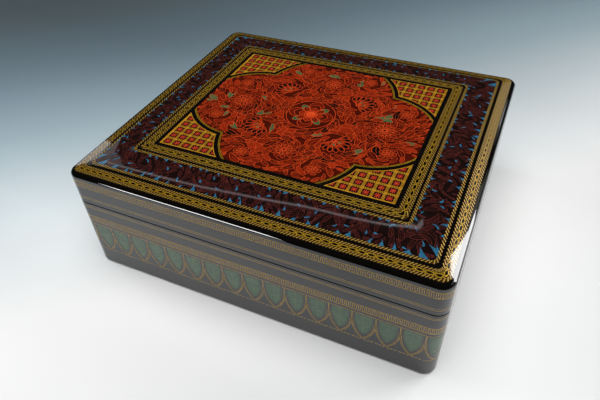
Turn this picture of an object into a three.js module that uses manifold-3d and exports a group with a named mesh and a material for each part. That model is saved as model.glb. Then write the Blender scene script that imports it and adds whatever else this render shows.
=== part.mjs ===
// Lacquered box with a crowned lid that sits flush on the body over an inner lip.
// Millimetres, +Z up. The origin is the middle of the foot, and the long front faces -Y.
// Two wooden carcasses are mitred, keyed at the corners and coated inside and out with built-up lacquer.
// The lid lifts straight off: the liner boards of the body stand above the seam and guide it.

import * as THREE from "three";
import { mergeVertices } from "three/addons/utils/BufferGeometryUtils.js";
import Module from "manifold-3d";

const wasm = await Module();
wasm.setup();

// Outside form
const LENGTH = 270; // left to right
const WIDTH = 240; // front to back
const BODY_HEIGHT = 64; // foot to seam
const LID_HEIGHT = 31.2; // seam to the flat middle of the lid
const CORNER_RADIUS = 9; // upright corners, in plan
const HIP_RADIUS = 4; // corners of the crown's inner contours, in plan
const CROWN_RISE = 6.2; // fall of the crown from its flat middle to the edge
const CROWN_MARGIN = 50; // width of the curved border around the flat middle
const EDGE_RADIUS = 3.2; // rounding between the lid's side and its crown
const FOOT_RADIUS = 2.5; // rounding under the body's side
const SEAM_EASE = 0.4; // bevel on both sides of the seam

// Coats and boards
const COAT = 1.5; // built-up lacquer outside
const INNER_COAT = 0.8; // lacquer inside
const WALL = 5.5; // wall boards
const LINER = 4.5; // liner boards, whose planed tops are the lip
const BASE_BOARD = 6;
const GLUE = 0.1; // glue line in the mitres, around the keys and boards, and the bond under the outer coats

// Body details
const FOOT_RECESS = 2; // hollow under the base, inside the foot
const GROOVE_DEPTH = 2.5; // groove in the walls that holds the base board's tongue
const TONGUE = 3; // thickness of that tongue
const LIP_HEIGHT = 8; // liner above the seam
const LIP_EASE = 0.5; // bevel on the lip's top edges
const LIP_CORNER = 1.6; // plan radius of the coated lip's outer corners
const LID_CLEARANCE = 0.3; // running gap between the lip and the inside of the lid
const INNER_CORNER = 3; // plan radius and floor fillet of the box's inside

// Lid details
const BOARD_SEAT = 20; // seam to the top of the lid's walls, where the top board rests
const TOP_TONGUE = 3; // how far the top board reaches down inside the walls

// Corner keys
const KEY_LEG = 8.8; // legs of the triangular key, measured from the sharp corner of the carcass
const KEY_THICKNESS = 2;
const BODY_KEY_HEIGHTS = [20, 45]; // undersides of the body's keys, above the foot
const LID_KEY_HEIGHT = 8; // underside of the lid's keys, above the seam

// Fineness of the curves
const CORNER_STEPS = 6;
const EDGE_STEPS = 5;
const CROWN_STEPS = 8;

// Places that follow from the sizes above. An inset is measured inwards from the outside of the box.
const SEAM = BODY_HEIGHT;
const TOP = BODY_HEIGHT + LID_HEIGHT;
const WALL_INSET = COAT + GLUE;
const WALL_INSIDE = WALL_INSET + WALL;
const LINER_INSIDE = WALL_INSIDE + LINER;
const LID_INSIDE = WALL_INSIDE + INNER_COAT;
const LIP_OUTSIDE = LID_INSIDE + LID_CLEARANCE;
const LIP_WOOD = LIP_OUTSIDE + INNER_COAT;
const BODY_INSIDE = LINER_INSIDE + INNER_COAT;
const LIP_TOP = SEAM + LIP_HEIGHT;
const BODY_WALL_TOP = SEAM - COAT;
const LID_WALL_BOTTOM = SEAM + COAT;
const LID_WALL_TOP = SEAM + BOARD_SEAT;
const CEILING = LID_WALL_TOP - TOP_TONGUE;
const BOARD_BOTTOM = FOOT_RECESS + COAT;
const BOARD_TOP = BOARD_BOTTOM + BASE_BOARD;
const PAST = 5; // how far a cutting tool runs past the face that it opens

// Materials
const lacquer = new THREE.MeshStandardMaterial({ color: 0x0b0a0a, roughness: 0.12, metalness: 0 });
const lining = new THREE.MeshStandardMaterial({ color: 0x120f0e, roughness: 0.2, metalness: 0 });
const cypress = new THREE.MeshStandardMaterial({ color: 0xcfae7c, roughness: 0.7, metalness: 0 });
const keyWood = new THREE.MeshStandardMaterial({ color: 0x8a5a34, roughness: 0.65, metalness: 0 });

// Turns a closed geometry into a solid that can be joined and cut.
function solidOf(geometry) {
  const bare = geometry.index ? geometry.toNonIndexed() : geometry.clone();
  for (const name of Object.keys(bare.attributes)) {
    if (name !== "position") bare.deleteAttribute(name);
  }
  const merged = mergeVertices(bare, 1e-4);
  return new wasm.Manifold(
    new wasm.Mesh({
      numProp: 3,
      vertProperties: merged.attributes.position.array,
      triVerts: new Uint32Array(merged.index.array),
    }),
  );
}

// Turns a solid back into a named mesh.
function piece(name, solid, material) {
  const mesh = solid.getMesh();
  const geometry = new THREE.BufferGeometry();
  geometry.setAttribute("position", new THREE.BufferAttribute(mesh.vertProperties, 3));
  geometry.setIndex(new THREE.BufferAttribute(mesh.triVerts, 1));
  geometry.computeVertexNormals();
  const made = new THREE.Mesh(geometry, material);
  made.name = name;
  return made;
}

// One contour of the box in plan: a rounded rectangle, counter-clockwise, at an inset and a height.
function contour({ inset, radius, z }) {
  const cornerX = LENGTH / 2 - inset - radius;
  const cornerY = WIDTH / 2 - inset - radius;
  const corners = [
    [cornerX, -cornerY],
    [cornerX, cornerY],
    [-cornerX, cornerY],
    [-cornerX, -cornerY],
  ];
  return corners.flatMap(([x, y], corner) =>
    Array.from({ length: CORNER_STEPS + 1 }, (_, step) => {
      const angle = (corner - 1 + step / CORNER_STEPS) * (Math.PI / 2);
      return new THREE.Vector3(x + radius * Math.cos(angle), y + radius * Math.sin(angle), z);
    }),
  );
}

// A solid skinned over contours that are listed from the lowest to the highest.
function loft(sections) {
  const rings = sections.map(contour);
  const count = rings[0].length;
  const last = (rings.length - 1) * count;
  const index = [];
  for (let ring = 0; ring < rings.length - 1; ring++) {
    for (let i = 0; i < count; i++) {
      const low = ring * count + i;
      const lowNext = ring * count + ((i + 1) % count);
      index.push(low, lowNext, lowNext + count, low, lowNext + count, low + count);
    }
  }
  for (let i = 1; i < count - 1; i++) {
    index.push(0, i + 1, i, last, last + i, last + i + 1);
  }
  const geometry = new THREE.BufferGeometry().setFromPoints(rings.flat());
  geometry.setIndex(index);
  return solidOf(geometry);
}

// An upright block with rounded corners, between two heights.
function roundedBlock(inset, radius, low, high) {
  return loft([
    { inset, radius, z: low },
    { inset, radius, z: high },
  ]);
}

// An upright block with sharp corners, between two heights.
function sharpBlock(inset, low, high) {
  const box = new THREE.BoxGeometry(LENGTH - 2 * inset, WIDTH - 2 * inset, high - low);
  return solidOf(box.translate(0, 0, (low + high) / 2));
}

// A hollow with rounded corners and a fillet against its closed end. `towards` is 1 if it opens upwards.
function filletedHollow(inset, radius, closed, open, towards) {
  const sections = Array.from({ length: EDGE_STEPS + 1 }, (_, step) => {
    const angle = (step / EDGE_STEPS) * (Math.PI / 2);
    const shift = radius * (1 - Math.sin(angle));
    return { inset: inset + shift, radius, z: closed + towards * radius * (1 - Math.cos(angle)) };
  });
  sections.push({ inset, radius, z: open });
  return loft(towards > 0 ? sections : sections.reverse());
}

// A flat plate with the given outline in plan.
function plate(outline, low, high) {
  const shape = new THREE.Shape(outline.map(([x, y]) => new THREE.Vector2(x, y)));
  const geometry = new THREE.ExtrudeGeometry(shape, { depth: high - low, bevelEnabled: false });
  return solidOf(geometry.translate(0, 0, low));
}

// Plan radius of the box at an inset: concentric with the upright corners, then that of the crown's hips.
const planRadius = (inset) => Math.max(CORNER_RADIUS - inset, HIP_RADIUS);

// Height and slope of the crown at an inset.
const crownShare = (inset) => Math.max(1 - inset / CROWN_MARGIN, 0);
const crownHeight = (inset) => TOP - CROWN_RISE * crownShare(inset) ** 2;
const crownSlope = (inset) => ((2 * CROWN_RISE) / CROWN_MARGIN) * crownShare(inset);

// Where the edge rounding meets the crown with the same slope, found by a few fixed-point steps.
function edgeEnd() {
  let inset = EDGE_RADIUS;
  let tilt = 0;
  for (let i = 0; i < 20; i++) {
    tilt = Math.atan2(1, crownSlope(inset));
    inset = EDGE_RADIUS * (1 - Math.cos(tilt));
  }
  return { inset, tilt };
}

// Contours of the lid's edge and crown, from the side to the middle, moved inwards by `depth`.
function crownSections(depth) {
  const end = edgeEnd();
  const centre = crownHeight(end.inset) - EDGE_RADIUS * Math.sin(end.tilt);
  const sections = [];
  const add = (inset, z, tilt) => {
    const moved = inset + depth * Math.cos(tilt);
    sections.push({ inset: moved, radius: planRadius(moved), z: z - depth * Math.sin(tilt) });
  };
  for (let step = 0; step < EDGE_STEPS; step++) {
    const tilt = (step / EDGE_STEPS) * end.tilt;
    add(EDGE_RADIUS * (1 - Math.cos(tilt)), centre + EDGE_RADIUS * Math.sin(tilt), tilt);
  }
  for (let step = 0; step <= CROWN_STEPS; step++) {
    const inset = end.inset + (step / CROWN_STEPS) ** 1.4 * (CROWN_MARGIN - end.inset);
    add(inset, crownHeight(inset), Math.atan2(1, crownSlope(inset)));
  }
  return sections;
}

// Four mitred boards that make one frame, named by the side that they stand on.
function mitredFrame(inset, thickness, low, high) {
  const outX = LENGTH / 2 - inset;
  const outY = WIDTH / 2 - inset;
  const inX = outX - thickness;
  const inY = outY - thickness;
  const back = GLUE / Math.SQRT2; // each board's end stops this far short of the mitre
  const alongX = (side) => [
    [-outX + back, side * outY],
    [outX - back, side * outY],
    [inX - back, side * inY],
    [-inX + back, side * inY],
  ];
  const alongY = (side) => [
    [side * outX, -outY + back],
    [side * outX, outY - back],
    [side * inX, inY - back],
    [side * inX, -inY + back],
  ];
  return {
    front: plate(alongX(-1), low, high),
    back: plate(alongX(1), low, high),
    left: plate(alongY(-1), low, high),
    right: plate(alongY(1), low, high),
  };
}

// Names of the four corners, with the direction that each lies in.
const CORNERS = [
  ["front_left", -1, -1],
  ["front_right", 1, -1],
  ["back_right", 1, 1],
  ["back_left", -1, 1],
];

// A triangular key across a mitred corner, grown by `fit` for the slot that takes it.
function cornerKey(signX, signY, low, fit) {
  const leg = KEY_LEG + fit * (1 + Math.SQRT2);
  const x = (LENGTH / 2 - WALL_INSET) * signX;
  const y = (WIDTH / 2 - WALL_INSET) * signY;
  const outline = [
    [x, y],
    [x - signX * leg, y],
    [x, y - signY * leg],
  ];
  return plate(outline, low - fit, low + KEY_THICKNESS + fit);
}

// The keys of one carcass, cut off flush with its rounded corners.
function keysOf(name, heights, carcass) {
  return heights.flatMap((height, level) =>
    CORNERS.map(([corner, signX, signY]) => {
      const number = heights.length > 1 ? `_${level + 1}` : "";
      const key = cornerKey(signX, signY, height, 0).intersect(carcass);
      return piece(`${name}_${corner}${number}`, key, keyWood);
    }),
  );
}

// Every slot that the keys of one carcass need.
function keySlots(heights) {
  const slots = heights.flatMap((height) =>
    CORNERS.map(([, signX, signY]) => cornerKey(signX, signY, height, GLUE)),
  );
  return slots.reduce((all, slot) => all.add(slot));
}

// The four wall boards of a carcass, rounded at its corners, after the cutting tools have passed.
function wallBoards(name, low, high, carcass, tools) {
  const boards = mitredFrame(WALL_INSET, WALL, low, high);
  return Object.entries(boards).map(([side, board]) => {
    const cut = tools.reduce((left, tool) => left.subtract(tool), board.intersect(carcass));
    return piece(`${name}_${side}_wall`, cut, cypress);
  });
}

// Outer coat of the body: side, rim up to the lip, foot, and the underside of the base.
function bodyCoat() {
  const bevel = SEAM_EASE;
  const sections = Array.from({ length: EDGE_STEPS + 1 }, (_, step) => {
    const angle = (step / EDGE_STEPS) * (Math.PI / 2);
    const inset = FOOT_RADIUS * (1 - Math.sin(angle));
    return { inset, radius: CORNER_RADIUS - inset, z: FOOT_RADIUS * (1 - Math.cos(angle)) };
  });
  sections.push({ inset: 0, radius: CORNER_RADIUS, z: SEAM - bevel });
  sections.push({ inset: bevel, radius: CORNER_RADIUS - bevel, z: SEAM });
  const carcass = roundedBlock(COAT, CORNER_RADIUS - COAT, COAT, BODY_WALL_TOP);
  const mouth = sharpBlock(LIP_WOOD, BODY_WALL_TOP - PAST, SEAM + PAST);
  const hollow = FOOT_RECESS + COAT;
  const underside = sharpBlock(WALL_INSIDE, FOOT_RADIUS / 2, hollow);
  const recess = roundedBlock(WALL_INSIDE + COAT, INNER_CORNER, -PAST, FOOT_RECESS);
  return loft(sections).subtract(carcass).subtract(mouth).add(underside).subtract(recess);
}

// Inner coat of the body: floor, sides, and the lip inside, on top and outside down to the seam.
function bodyLining() {
  const lip = loft([
    { inset: LIP_OUTSIDE, radius: LIP_CORNER, z: SEAM },
    { inset: LIP_OUTSIDE, radius: LIP_CORNER, z: LIP_TOP - LIP_EASE },
    { inset: LIP_OUTSIDE + LIP_EASE, radius: LIP_CORNER, z: LIP_TOP },
  ]);
  const wood = sharpBlock(LIP_WOOD, SEAM - PAST, LIP_TOP - INNER_COAT);
  const inner = sharpBlock(LINER_INSIDE, BOARD_TOP, LIP_TOP - INNER_COAT);
  const hollow = filletedHollow(BODY_INSIDE, INNER_CORNER, BOARD_TOP + INNER_COAT, LIP_TOP + PAST, 1);
  return lip.subtract(wood).add(inner).subtract(hollow);
}

// Liner boards: they stand on the base board, and are planed back above the walls to form the lip.
function linerBoards() {
  const boards = mitredFrame(WALL_INSIDE, LINER, BOARD_TOP, LIP_TOP - INNER_COAT);
  const planed = sharpBlock(-PAST, BODY_WALL_TOP, LIP_TOP).subtract(
    sharpBlock(LIP_WOOD, BODY_WALL_TOP - PAST, LIP_TOP + PAST),
  );
  return Object.entries(boards).map(([side, board]) =>
    piece(`${side}_liner`, board.subtract(planed), cypress),
  );
}

// Base board with the tongue that fits the groove in the walls.
function baseBoard() {
  const tongueLow = BOARD_BOTTOM + (BASE_BOARD - TONGUE) / 2;
  const board = sharpBlock(WALL_INSIDE + GLUE, BOARD_BOTTOM, BOARD_TOP);
  const tongue = sharpBlock(WALL_INSIDE - GROOVE_DEPTH + GLUE, tongueLow + GLUE, tongueLow + TONGUE - GLUE);
  return piece("base_board", board.add(tongue), cypress);
}

// The whole lower box.
function makeBody() {
  const body = new THREE.Group();
  const carcass = roundedBlock(WALL_INSET, CORNER_RADIUS - WALL_INSET, COAT, BODY_WALL_TOP);
  const grooveLow = BOARD_BOTTOM + (BASE_BOARD - TONGUE) / 2;
  const groove = sharpBlock(WALL_INSIDE - GROOVE_DEPTH, grooveLow, grooveLow + TONGUE);
  const tools = [groove, keySlots(BODY_KEY_HEIGHTS)];
  body.add(piece("body_coat", bodyCoat(), lacquer));
  body.add(piece("body_lining", bodyLining(), lining));
  body.add(...wallBoards("body", COAT, BODY_WALL_TOP, carcass, tools));
  body.add(...linerBoards(), baseBoard());
  body.add(...keysOf("body_key", BODY_KEY_HEIGHTS, carcass));
  return body;
}

// Wooden form of the lid inside its coat, and the outside of the coat itself.
function lidForm(depth, low) {
  return loft([{ inset: depth, radius: planRadius(depth), z: low }, ...crownSections(depth)]);
}

// Outer coat of the lid: crown, side and rim.
function lidCoat() {
  const outside = loft([
    { inset: SEAM_EASE, radius: CORNER_RADIUS - SEAM_EASE, z: SEAM },
    { inset: 0, radius: CORNER_RADIUS, z: SEAM + SEAM_EASE },
    ...crownSections(0),
  ]);
  const mouth = sharpBlock(WALL_INSIDE, SEAM - PAST, LID_WALL_BOTTOM + PAST);
  return outside.subtract(lidForm(COAT, LID_WALL_BOTTOM)).subtract(mouth);
}

// Inner coat of the lid: ceiling and sides down to the seam.
function lidLining() {
  const block = sharpBlock(WALL_INSIDE, SEAM, CEILING);
  const radius = LIP_CORNER + LID_CLEARANCE;
  return block.subtract(filletedHollow(LID_INSIDE, radius, CEILING - INNER_COAT, SEAM - PAST, -1));
}

// Top board, planed to the crown, with the tongue that drops inside the walls.
function topBoard(form) {
  const field = sharpBlock(0, LID_WALL_TOP, TOP + PAST);
  const tongue = sharpBlock(WALL_INSIDE + GLUE, CEILING, LID_WALL_TOP + PAST);
  return piece("top_board", form.intersect(field.add(tongue)), cypress);
}

// The whole lid.
function makeLid() {
  const lid = new THREE.Group();
  const form = lidForm(WALL_INSET, LID_WALL_BOTTOM);
  const keyHeights = [SEAM + LID_KEY_HEIGHT];
  lid.add(piece("lid_coat", lidCoat(), lacquer));
  lid.add(piece("lid_lining", lidLining(), lining));
  lid.add(...wallBoards("lid", LID_WALL_BOTTOM, LID_WALL_TOP, form, [keySlots(keyHeights)]));
  lid.add(topBoard(form), ...keysOf("lid_key", keyHeights, form));
  return lid;
}

const box = new THREE.Group();
box.add(makeBody(), makeLid());

export default box;
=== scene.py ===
"""Looks of a lidded lacquer box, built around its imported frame.

The coats are smooth shells over the frame's boards. The ornament is carved into the coat and filled with
colour: each fill is a thin sheet, drawn as strokes on a flat drawing and then laid on the crown or around the
sides. Sizes are in millimetres, and meshes are in metres.
"""
import logging
import math
from collections.abc import Callable
from dataclasses import dataclass, replace
from enum import Enum
from functools import cache
from typing import ClassVar, Protocol

import bpy
import numpy as np
from mathutils import Matrix, Vector


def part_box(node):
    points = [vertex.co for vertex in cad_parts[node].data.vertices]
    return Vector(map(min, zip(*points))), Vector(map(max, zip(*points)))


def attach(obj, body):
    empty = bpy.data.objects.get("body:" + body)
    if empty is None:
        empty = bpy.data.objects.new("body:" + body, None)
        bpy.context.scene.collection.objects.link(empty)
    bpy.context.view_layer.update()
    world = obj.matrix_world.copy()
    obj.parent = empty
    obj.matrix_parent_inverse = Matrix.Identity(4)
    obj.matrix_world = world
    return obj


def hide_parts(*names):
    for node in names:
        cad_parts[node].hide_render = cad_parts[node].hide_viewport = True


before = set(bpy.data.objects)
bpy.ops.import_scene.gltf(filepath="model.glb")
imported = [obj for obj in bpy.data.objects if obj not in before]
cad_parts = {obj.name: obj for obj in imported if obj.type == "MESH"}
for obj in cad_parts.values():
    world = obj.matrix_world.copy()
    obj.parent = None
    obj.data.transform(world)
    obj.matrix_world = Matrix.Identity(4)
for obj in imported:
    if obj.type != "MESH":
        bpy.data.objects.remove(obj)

log = logging.getLogger("lacquer_box")

Pair = tuple[float, float]
Place = tuple[float, float, float]
Colour = tuple[float, float, float]
Socket = bpy.types.NodeSocket

MM = 0.001
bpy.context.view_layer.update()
BODY_LOW, BODY_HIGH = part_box("body_coat")
LENGTH = (BODY_HIGH.x - BODY_LOW.x) / MM
WIDTH = (BODY_HIGH.y - BODY_LOW.y) / MM
SEAM = BODY_HIGH.z / MM
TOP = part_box("lid_coat")[1].z / MM
CORNER_RADIUS = 9.0  # upright corners, in plan
LAYER = 0.012  # from one layer of ornament to the next
CLOSENESS = 0.003  # how closely a sheet follows its surface
TIP = 0.02  # half width of a stroke at a pointed end
TWISTS = 3  # dashes of a cord to one cell of its track
LUSTRE = 1.7  # refractive index of polished lacquer
QUARTER = math.pi / 2
CORNERS = ((1, 1), (-1, 1), (-1, -1), (1, -1))  # the signs of x and y in each quarter of the plan


class Body(Enum):
    """The two bodies that pieces ride on."""

    BOX = "box_body"
    LID = "lid"


class Slot(Enum):
    """Names of material slots; each finish carries one."""

    BLACK_LACQUER = "black_lacquer"
    INNER_LACQUER = "inner_lacquer"
    BOARD_WOOD = "board_wood"
    KEY_WOOD = "key_wood"


def tone(red: int, green: int, blue: int) -> Colour:
    """Turns a colour as it looks on a screen into the linear one that shaders take.

    Args:
        red: Red, from 0 to 255.
        green: Green, from 0 to 255.
        blue: Blue, from 0 to 255.

    Returns:
        The linear colour.
    """
    shares = (value / 255 for value in (red, green, blue))
    return tuple(s / 12.92 if s <= 0.04045 else ((s + 0.055) / 1.055) ** 2.4 for s in shares)


def mixed(tree: bpy.types.NodeTree, share: Socket, first: Colour, second: Colour) -> Socket:
    """Mixes two colours.

    Args:
        tree: The tree that gets the node.
        share: How much of the second colour there is.
        first: The first colour.
        second: The second colour.

    Returns:
        The mixed colour.
    """
    node = tree.nodes.new("ShaderNodeMix")
    node.data_type = "RGBA"
    node.inputs["A"].default_value = (*first, 1)
    node.inputs["B"].default_value = (*second, 1)
    tree.links.new(share, node.inputs["Factor"])
    return node.outputs["Result"]


class Recipe:
    """The nodes of one material around its shader."""

    cloud: ClassVar[Pair] = (0.3, 0.7)  # a cloudy pattern mostly lies between these

    def __init__(self, name: str) -> None:
        """Starts a material.

        Args:
            name: The material's name.
        """
        self.material = bpy.data.materials.new(name)
        self.material.use_nodes = True
        self.tree = self.material.node_tree
        self.shader = self.tree.nodes["Principled BSDF"]
        self.place = self.tree.nodes.new("ShaderNodeTexCoord").outputs["Object"]

    def stretched(self, scale: Place) -> Socket:
        """Gives the place on the object, scaled along each axis.

        Args:
            scale: The scale along X, Y and Z.

        Returns:
            The scaled place.
        """
        node = self.tree.nodes.new("ShaderNodeMapping")
        node.inputs["Scale"].default_value = scale
        self.tree.links.new(self.place, node.inputs["Vector"])
        return node.outputs["Vector"]

    def noise(self, size: float, detail: float = 3, place: Socket | None = None) -> Socket:
        """Makes a cloudy pattern.

        Args:
            size: The size of its clouds.
            detail: How many finer patterns are added.
            place: The place that it reads, if not the object's own.

        Returns:
            The pattern, from 0 to 1.
        """
        node = self.tree.nodes.new("ShaderNodeTexNoise")
        node.inputs["Scale"].default_value = 1 / (size * MM)
        node.inputs["Detail"].default_value = detail
        self.tree.links.new(place or self.place, node.inputs["Vector"])
        return node.outputs["Fac"]

    def spread(self, pattern: Socket, low: float, high: float) -> Socket:
        """Spreads the middle of a pattern over a range.

        Args:
            pattern: A cloudy pattern.
            low: The value at its low end.
            high: The value at its high end.

        Returns:
            The spread value.
        """
        node = self.tree.nodes.new("ShaderNodeMapRange")
        limits = {"From Min": self.cloud[0], "From Max": self.cloud[1], "To Min": low, "To Max": high}
        for socket, value in limits.items():
            node.inputs[socket].default_value = value
        self.tree.links.new(pattern, node.inputs["Value"])
        return node.outputs["Result"]

    def paint(self, pattern: Socket, first: Colour, second: Colour) -> None:
        """Colours the shader with two tones.

        Args:
            pattern: Where the second tone shows.
            first: The first tone.
            second: The second tone.
        """
        tint = mixed(self.tree, self.spread(pattern, 0, 1), first, second)
        self.tree.links.new(tint, self.shader.inputs["Base Color"])

    def polish(self, pattern: Socket, low: float, high: float) -> None:
        """Varies the shader's roughness over a range."""
        self.tree.links.new(self.spread(pattern, low, high), self.shader.inputs["Roughness"])

    def relief(self, pattern: Socket, depth: float) -> None:
        """Raises the surface by a pattern.

        Args:
            pattern: The height pattern.
            depth: The height that it spans.
        """
        node = self.tree.nodes.new("ShaderNodeBump")
        node.inputs["Distance"].default_value = depth * MM
        self.tree.links.new(pattern, node.inputs["Height"])
        self.tree.links.new(node.outputs["Normal"], self.shader.inputs["Normal"])


@dataclass(frozen=True)
class Lacquer:
    """A polished coat or fill of coloured lacquer."""

    name: str
    colour: Colour
    shade: Colour
    mottle: float = 4.0
    roughness: float = 0.045
    wave: float = 0.004
    wave_size: float = 14.0
    metal: float = 0.0
    slot: Slot = Slot.BLACK_LACQUER
    powder_roughness: float = 0.42  # of metal powder under the clear top layer
    rubbing: Pair = (0.7, 1.4)  # how much the roughness varies from place to place

    @cache
    def material(self) -> bpy.types.Material:
        """Builds the material: two tones in soft clouds, with the faint waves of polishing by hand.

        Returns:
            The finished material.
        """
        recipe = Recipe(self.name)
        recipe.paint(recipe.noise(self.mottle), self.colour, self.shade)
        rough = self.powder_roughness if self.metal else self.roughness
        recipe.polish(recipe.noise(self.mottle / 2), *(share * rough for share in self.rubbing))
        recipe.relief(recipe.noise(self.wave_size, detail=1), self.wave)
        values = {"IOR": LUSTRE}
        if self.metal:
            values |= {"Metallic": self.metal, "Coat Weight": 1, "Coat Roughness": self.roughness}
            values["Coat IOR"] = LUSTRE
        for socket, value in values.items():
            recipe.shader.inputs[socket].default_value = value
        return recipe.material


@dataclass(frozen=True)
class Wood:
    """A planed board, with its grain along one axis."""

    name: str
    colour: Colour
    grain: Colour
    along: Place  # the scale of the streaks, which is small along the grain
    slot: Slot = Slot.BOARD_WOOD
    streak: float = 3.0
    planing: Pair = (0.55, 0.8)  # the roughness of the wood and of its streaks
    raised: float = 0.05

    @cache
    def material(self) -> bpy.types.Material:
        """Builds the material: long narrow streaks of a darker tone, slightly raised.

        Returns:
            The finished material.
        """
        recipe = Recipe(self.name)
        streaks = recipe.noise(self.streak, detail=6, place=recipe.stretched(self.along))
        recipe.paint(streaks, self.colour, self.grain)
        recipe.polish(streaks, *self.planing)
        recipe.relief(streaks, self.raised)
        return recipe.material


class Ink(Enum):
    """The coloured fills of the ornament."""

    GOLD = Lacquer("gold_fill", tone(210, 166, 32), tone(184, 140, 24), mottle=2, metal=0.5)
    CORD_GOLD = Lacquer("cord_gold_fill", tone(188, 151, 66), tone(165, 130, 52), mottle=2, metal=0.5)
    BRONZE = Lacquer("bronze_fill", tone(60, 43, 14), tone(48, 33, 10), mottle=2)
    SIDE_GOLD = Lacquer("side_gold_fill", tone(192, 152, 34), tone(164, 126, 24), mottle=2)
    LATTICE_GOLD = Lacquer("lattice_gold_fill", tone(170, 122, 30), tone(144, 100, 22), mottle=2)
    ROSE = Lacquer("rose_fill", tone(196, 58, 40), tone(160, 42, 30), mottle=2)
    BLACK = Lacquer("black_fill", tone(9, 7, 7), tone(6, 5, 5))
    MAROON = Lacquer("maroon_fill", tone(22, 9, 9), tone(15, 7, 7), mottle=5)
    PLUM = Lacquer("plum_fill", tone(40, 15, 14), tone(27, 11, 11), mottle=3)
    RUSSET = Lacquer("russet_fill", tone(90, 39, 34), tone(68, 29, 26), mottle=3)
    BLUE = Lacquer("blue_fill", tone(44, 104, 134), tone(28, 76, 102), mottle=2)
    DEEP_RED = Lacquer("deep_red_fill", tone(70, 13, 4), tone(54, 10, 4), mottle=5)
    RED = Lacquer("red_fill", tone(99, 21, 5), tone(80, 16, 5), mottle=4)
    SCARLET = Lacquer("scarlet_fill", tone(126, 30, 8), tone(104, 24, 6), mottle=3)
    VERMILION = Lacquer("vermilion_fill", tone(200, 70, 30), tone(174, 55, 22), mottle=3)
    GREEN = Lacquer("green_fill", tone(36, 92, 56), tone(26, 72, 44), mottle=3)
    PETAL_GREEN = Lacquer("petal_green_fill", tone(54, 98, 62), tone(38, 78, 48), mottle=4)
    RIB_GREEN = Lacquer("rib_green_fill", tone(98, 120, 62), tone(76, 98, 48), mottle=4)


@dataclass(frozen=True)
class Coats:
    """The finishes of the coats and boards."""

    black: Lacquer = Lacquer("black_lacquer", tone(7, 6, 6), tone(5, 5, 5), roughness=0.03)
    inner: Lacquer = Lacquer("inner_lacquer", tone(26, 20, 19), tone(18, 15, 14), roughness=0.14,
                             wave=0.02, slot=Slot.INNER_LACQUER)
    board_along_x: Wood = Wood("board_wood_x", tone(207, 174, 124), tone(176, 138, 90), (0.04, 1, 1))
    board_along_y: Wood = Wood("board_wood_y", tone(207, 174, 124), tone(176, 138, 90), (1, 0.04, 1))
    key: Wood = Wood("key_wood", tone(138, 90, 52), tone(104, 64, 36), (0.1, 0.1, 1), Slot.KEY_WOOD)


@dataclass
class Sheet:
    """Triangles of one ink on a flat drawing, with the layer that each point lies on."""

    points: np.ndarray
    layers: np.ndarray
    faces: np.ndarray


def made(name: str, points: list, faces: list, material: bpy.types.Material) -> bpy.types.Object:
    """Makes an object and puts it in the scene.

    Args:
        name: The object's name.
        points: Its points, in metres.
        faces: Its faces, as lists of points' numbers.
        material: Its only material.

    Returns:
        The object.
    """
    mesh = bpy.data.meshes.new(name)
    mesh.from_pydata(points, [], faces)
    mesh.materials.append(material)
    thing = bpy.data.objects.new(name, mesh)
    bpy.context.scene.collection.objects.link(thing)
    return thing


class Surface(Protocol):
    """A surface that a flat drawing can be laid on."""

    def place(self, points: np.ndarray, lift: np.ndarray) -> tuple[np.ndarray, np.ndarray]:
        """Gives the places and normals of points, lifted off the surface."""


def left_of(line: np.ndarray) -> np.ndarray:
    """Gives the directions square to a line, on its left.

    Args:
        line: The line's points.

    Returns:
        A unit vector for each point.
    """
    along = np.gradient(line, axis=0)
    along /= np.linalg.norm(along, axis=1, keepdims=True)
    return np.stack([-along[:, 1], along[:, 0]], axis=1)


def arc(centre: Pair, radius: float, start: float, end: float, count: int) -> np.ndarray:
    """Gives so many points on a circle, from one angle to another in radians."""
    angles = np.linspace(start, end, count)
    return np.array(centre) + radius * np.stack([np.cos(angles), np.sin(angles)], axis=1)


def turned(points: np.ndarray, angle: float, to: Pair = (0, 0)) -> np.ndarray:
    """Turns points about the origin by an angle in radians, and then moves the origin to a place."""
    cos, sin = math.cos(angle), math.sin(angle)
    return points @ np.array([[cos, sin], [-sin, cos]]) + np.array(to)


def spoke(start: float, length: float, share: np.ndarray) -> np.ndarray:
    """Gives points along the X axis, at shares of a length from a start."""
    return np.stack([start + length * share, np.zeros(len(share))], axis=1)


def swelling(half: float, share: np.ndarray, peak: float, fullness: float = 1.0) -> np.ndarray:
    """Gives the half widths of a stroke with pointed ends, which is widest in the middle if the peak is 1."""
    return np.maximum(half * np.sin(math.pi * share**peak) ** fullness, TIP)


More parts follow.
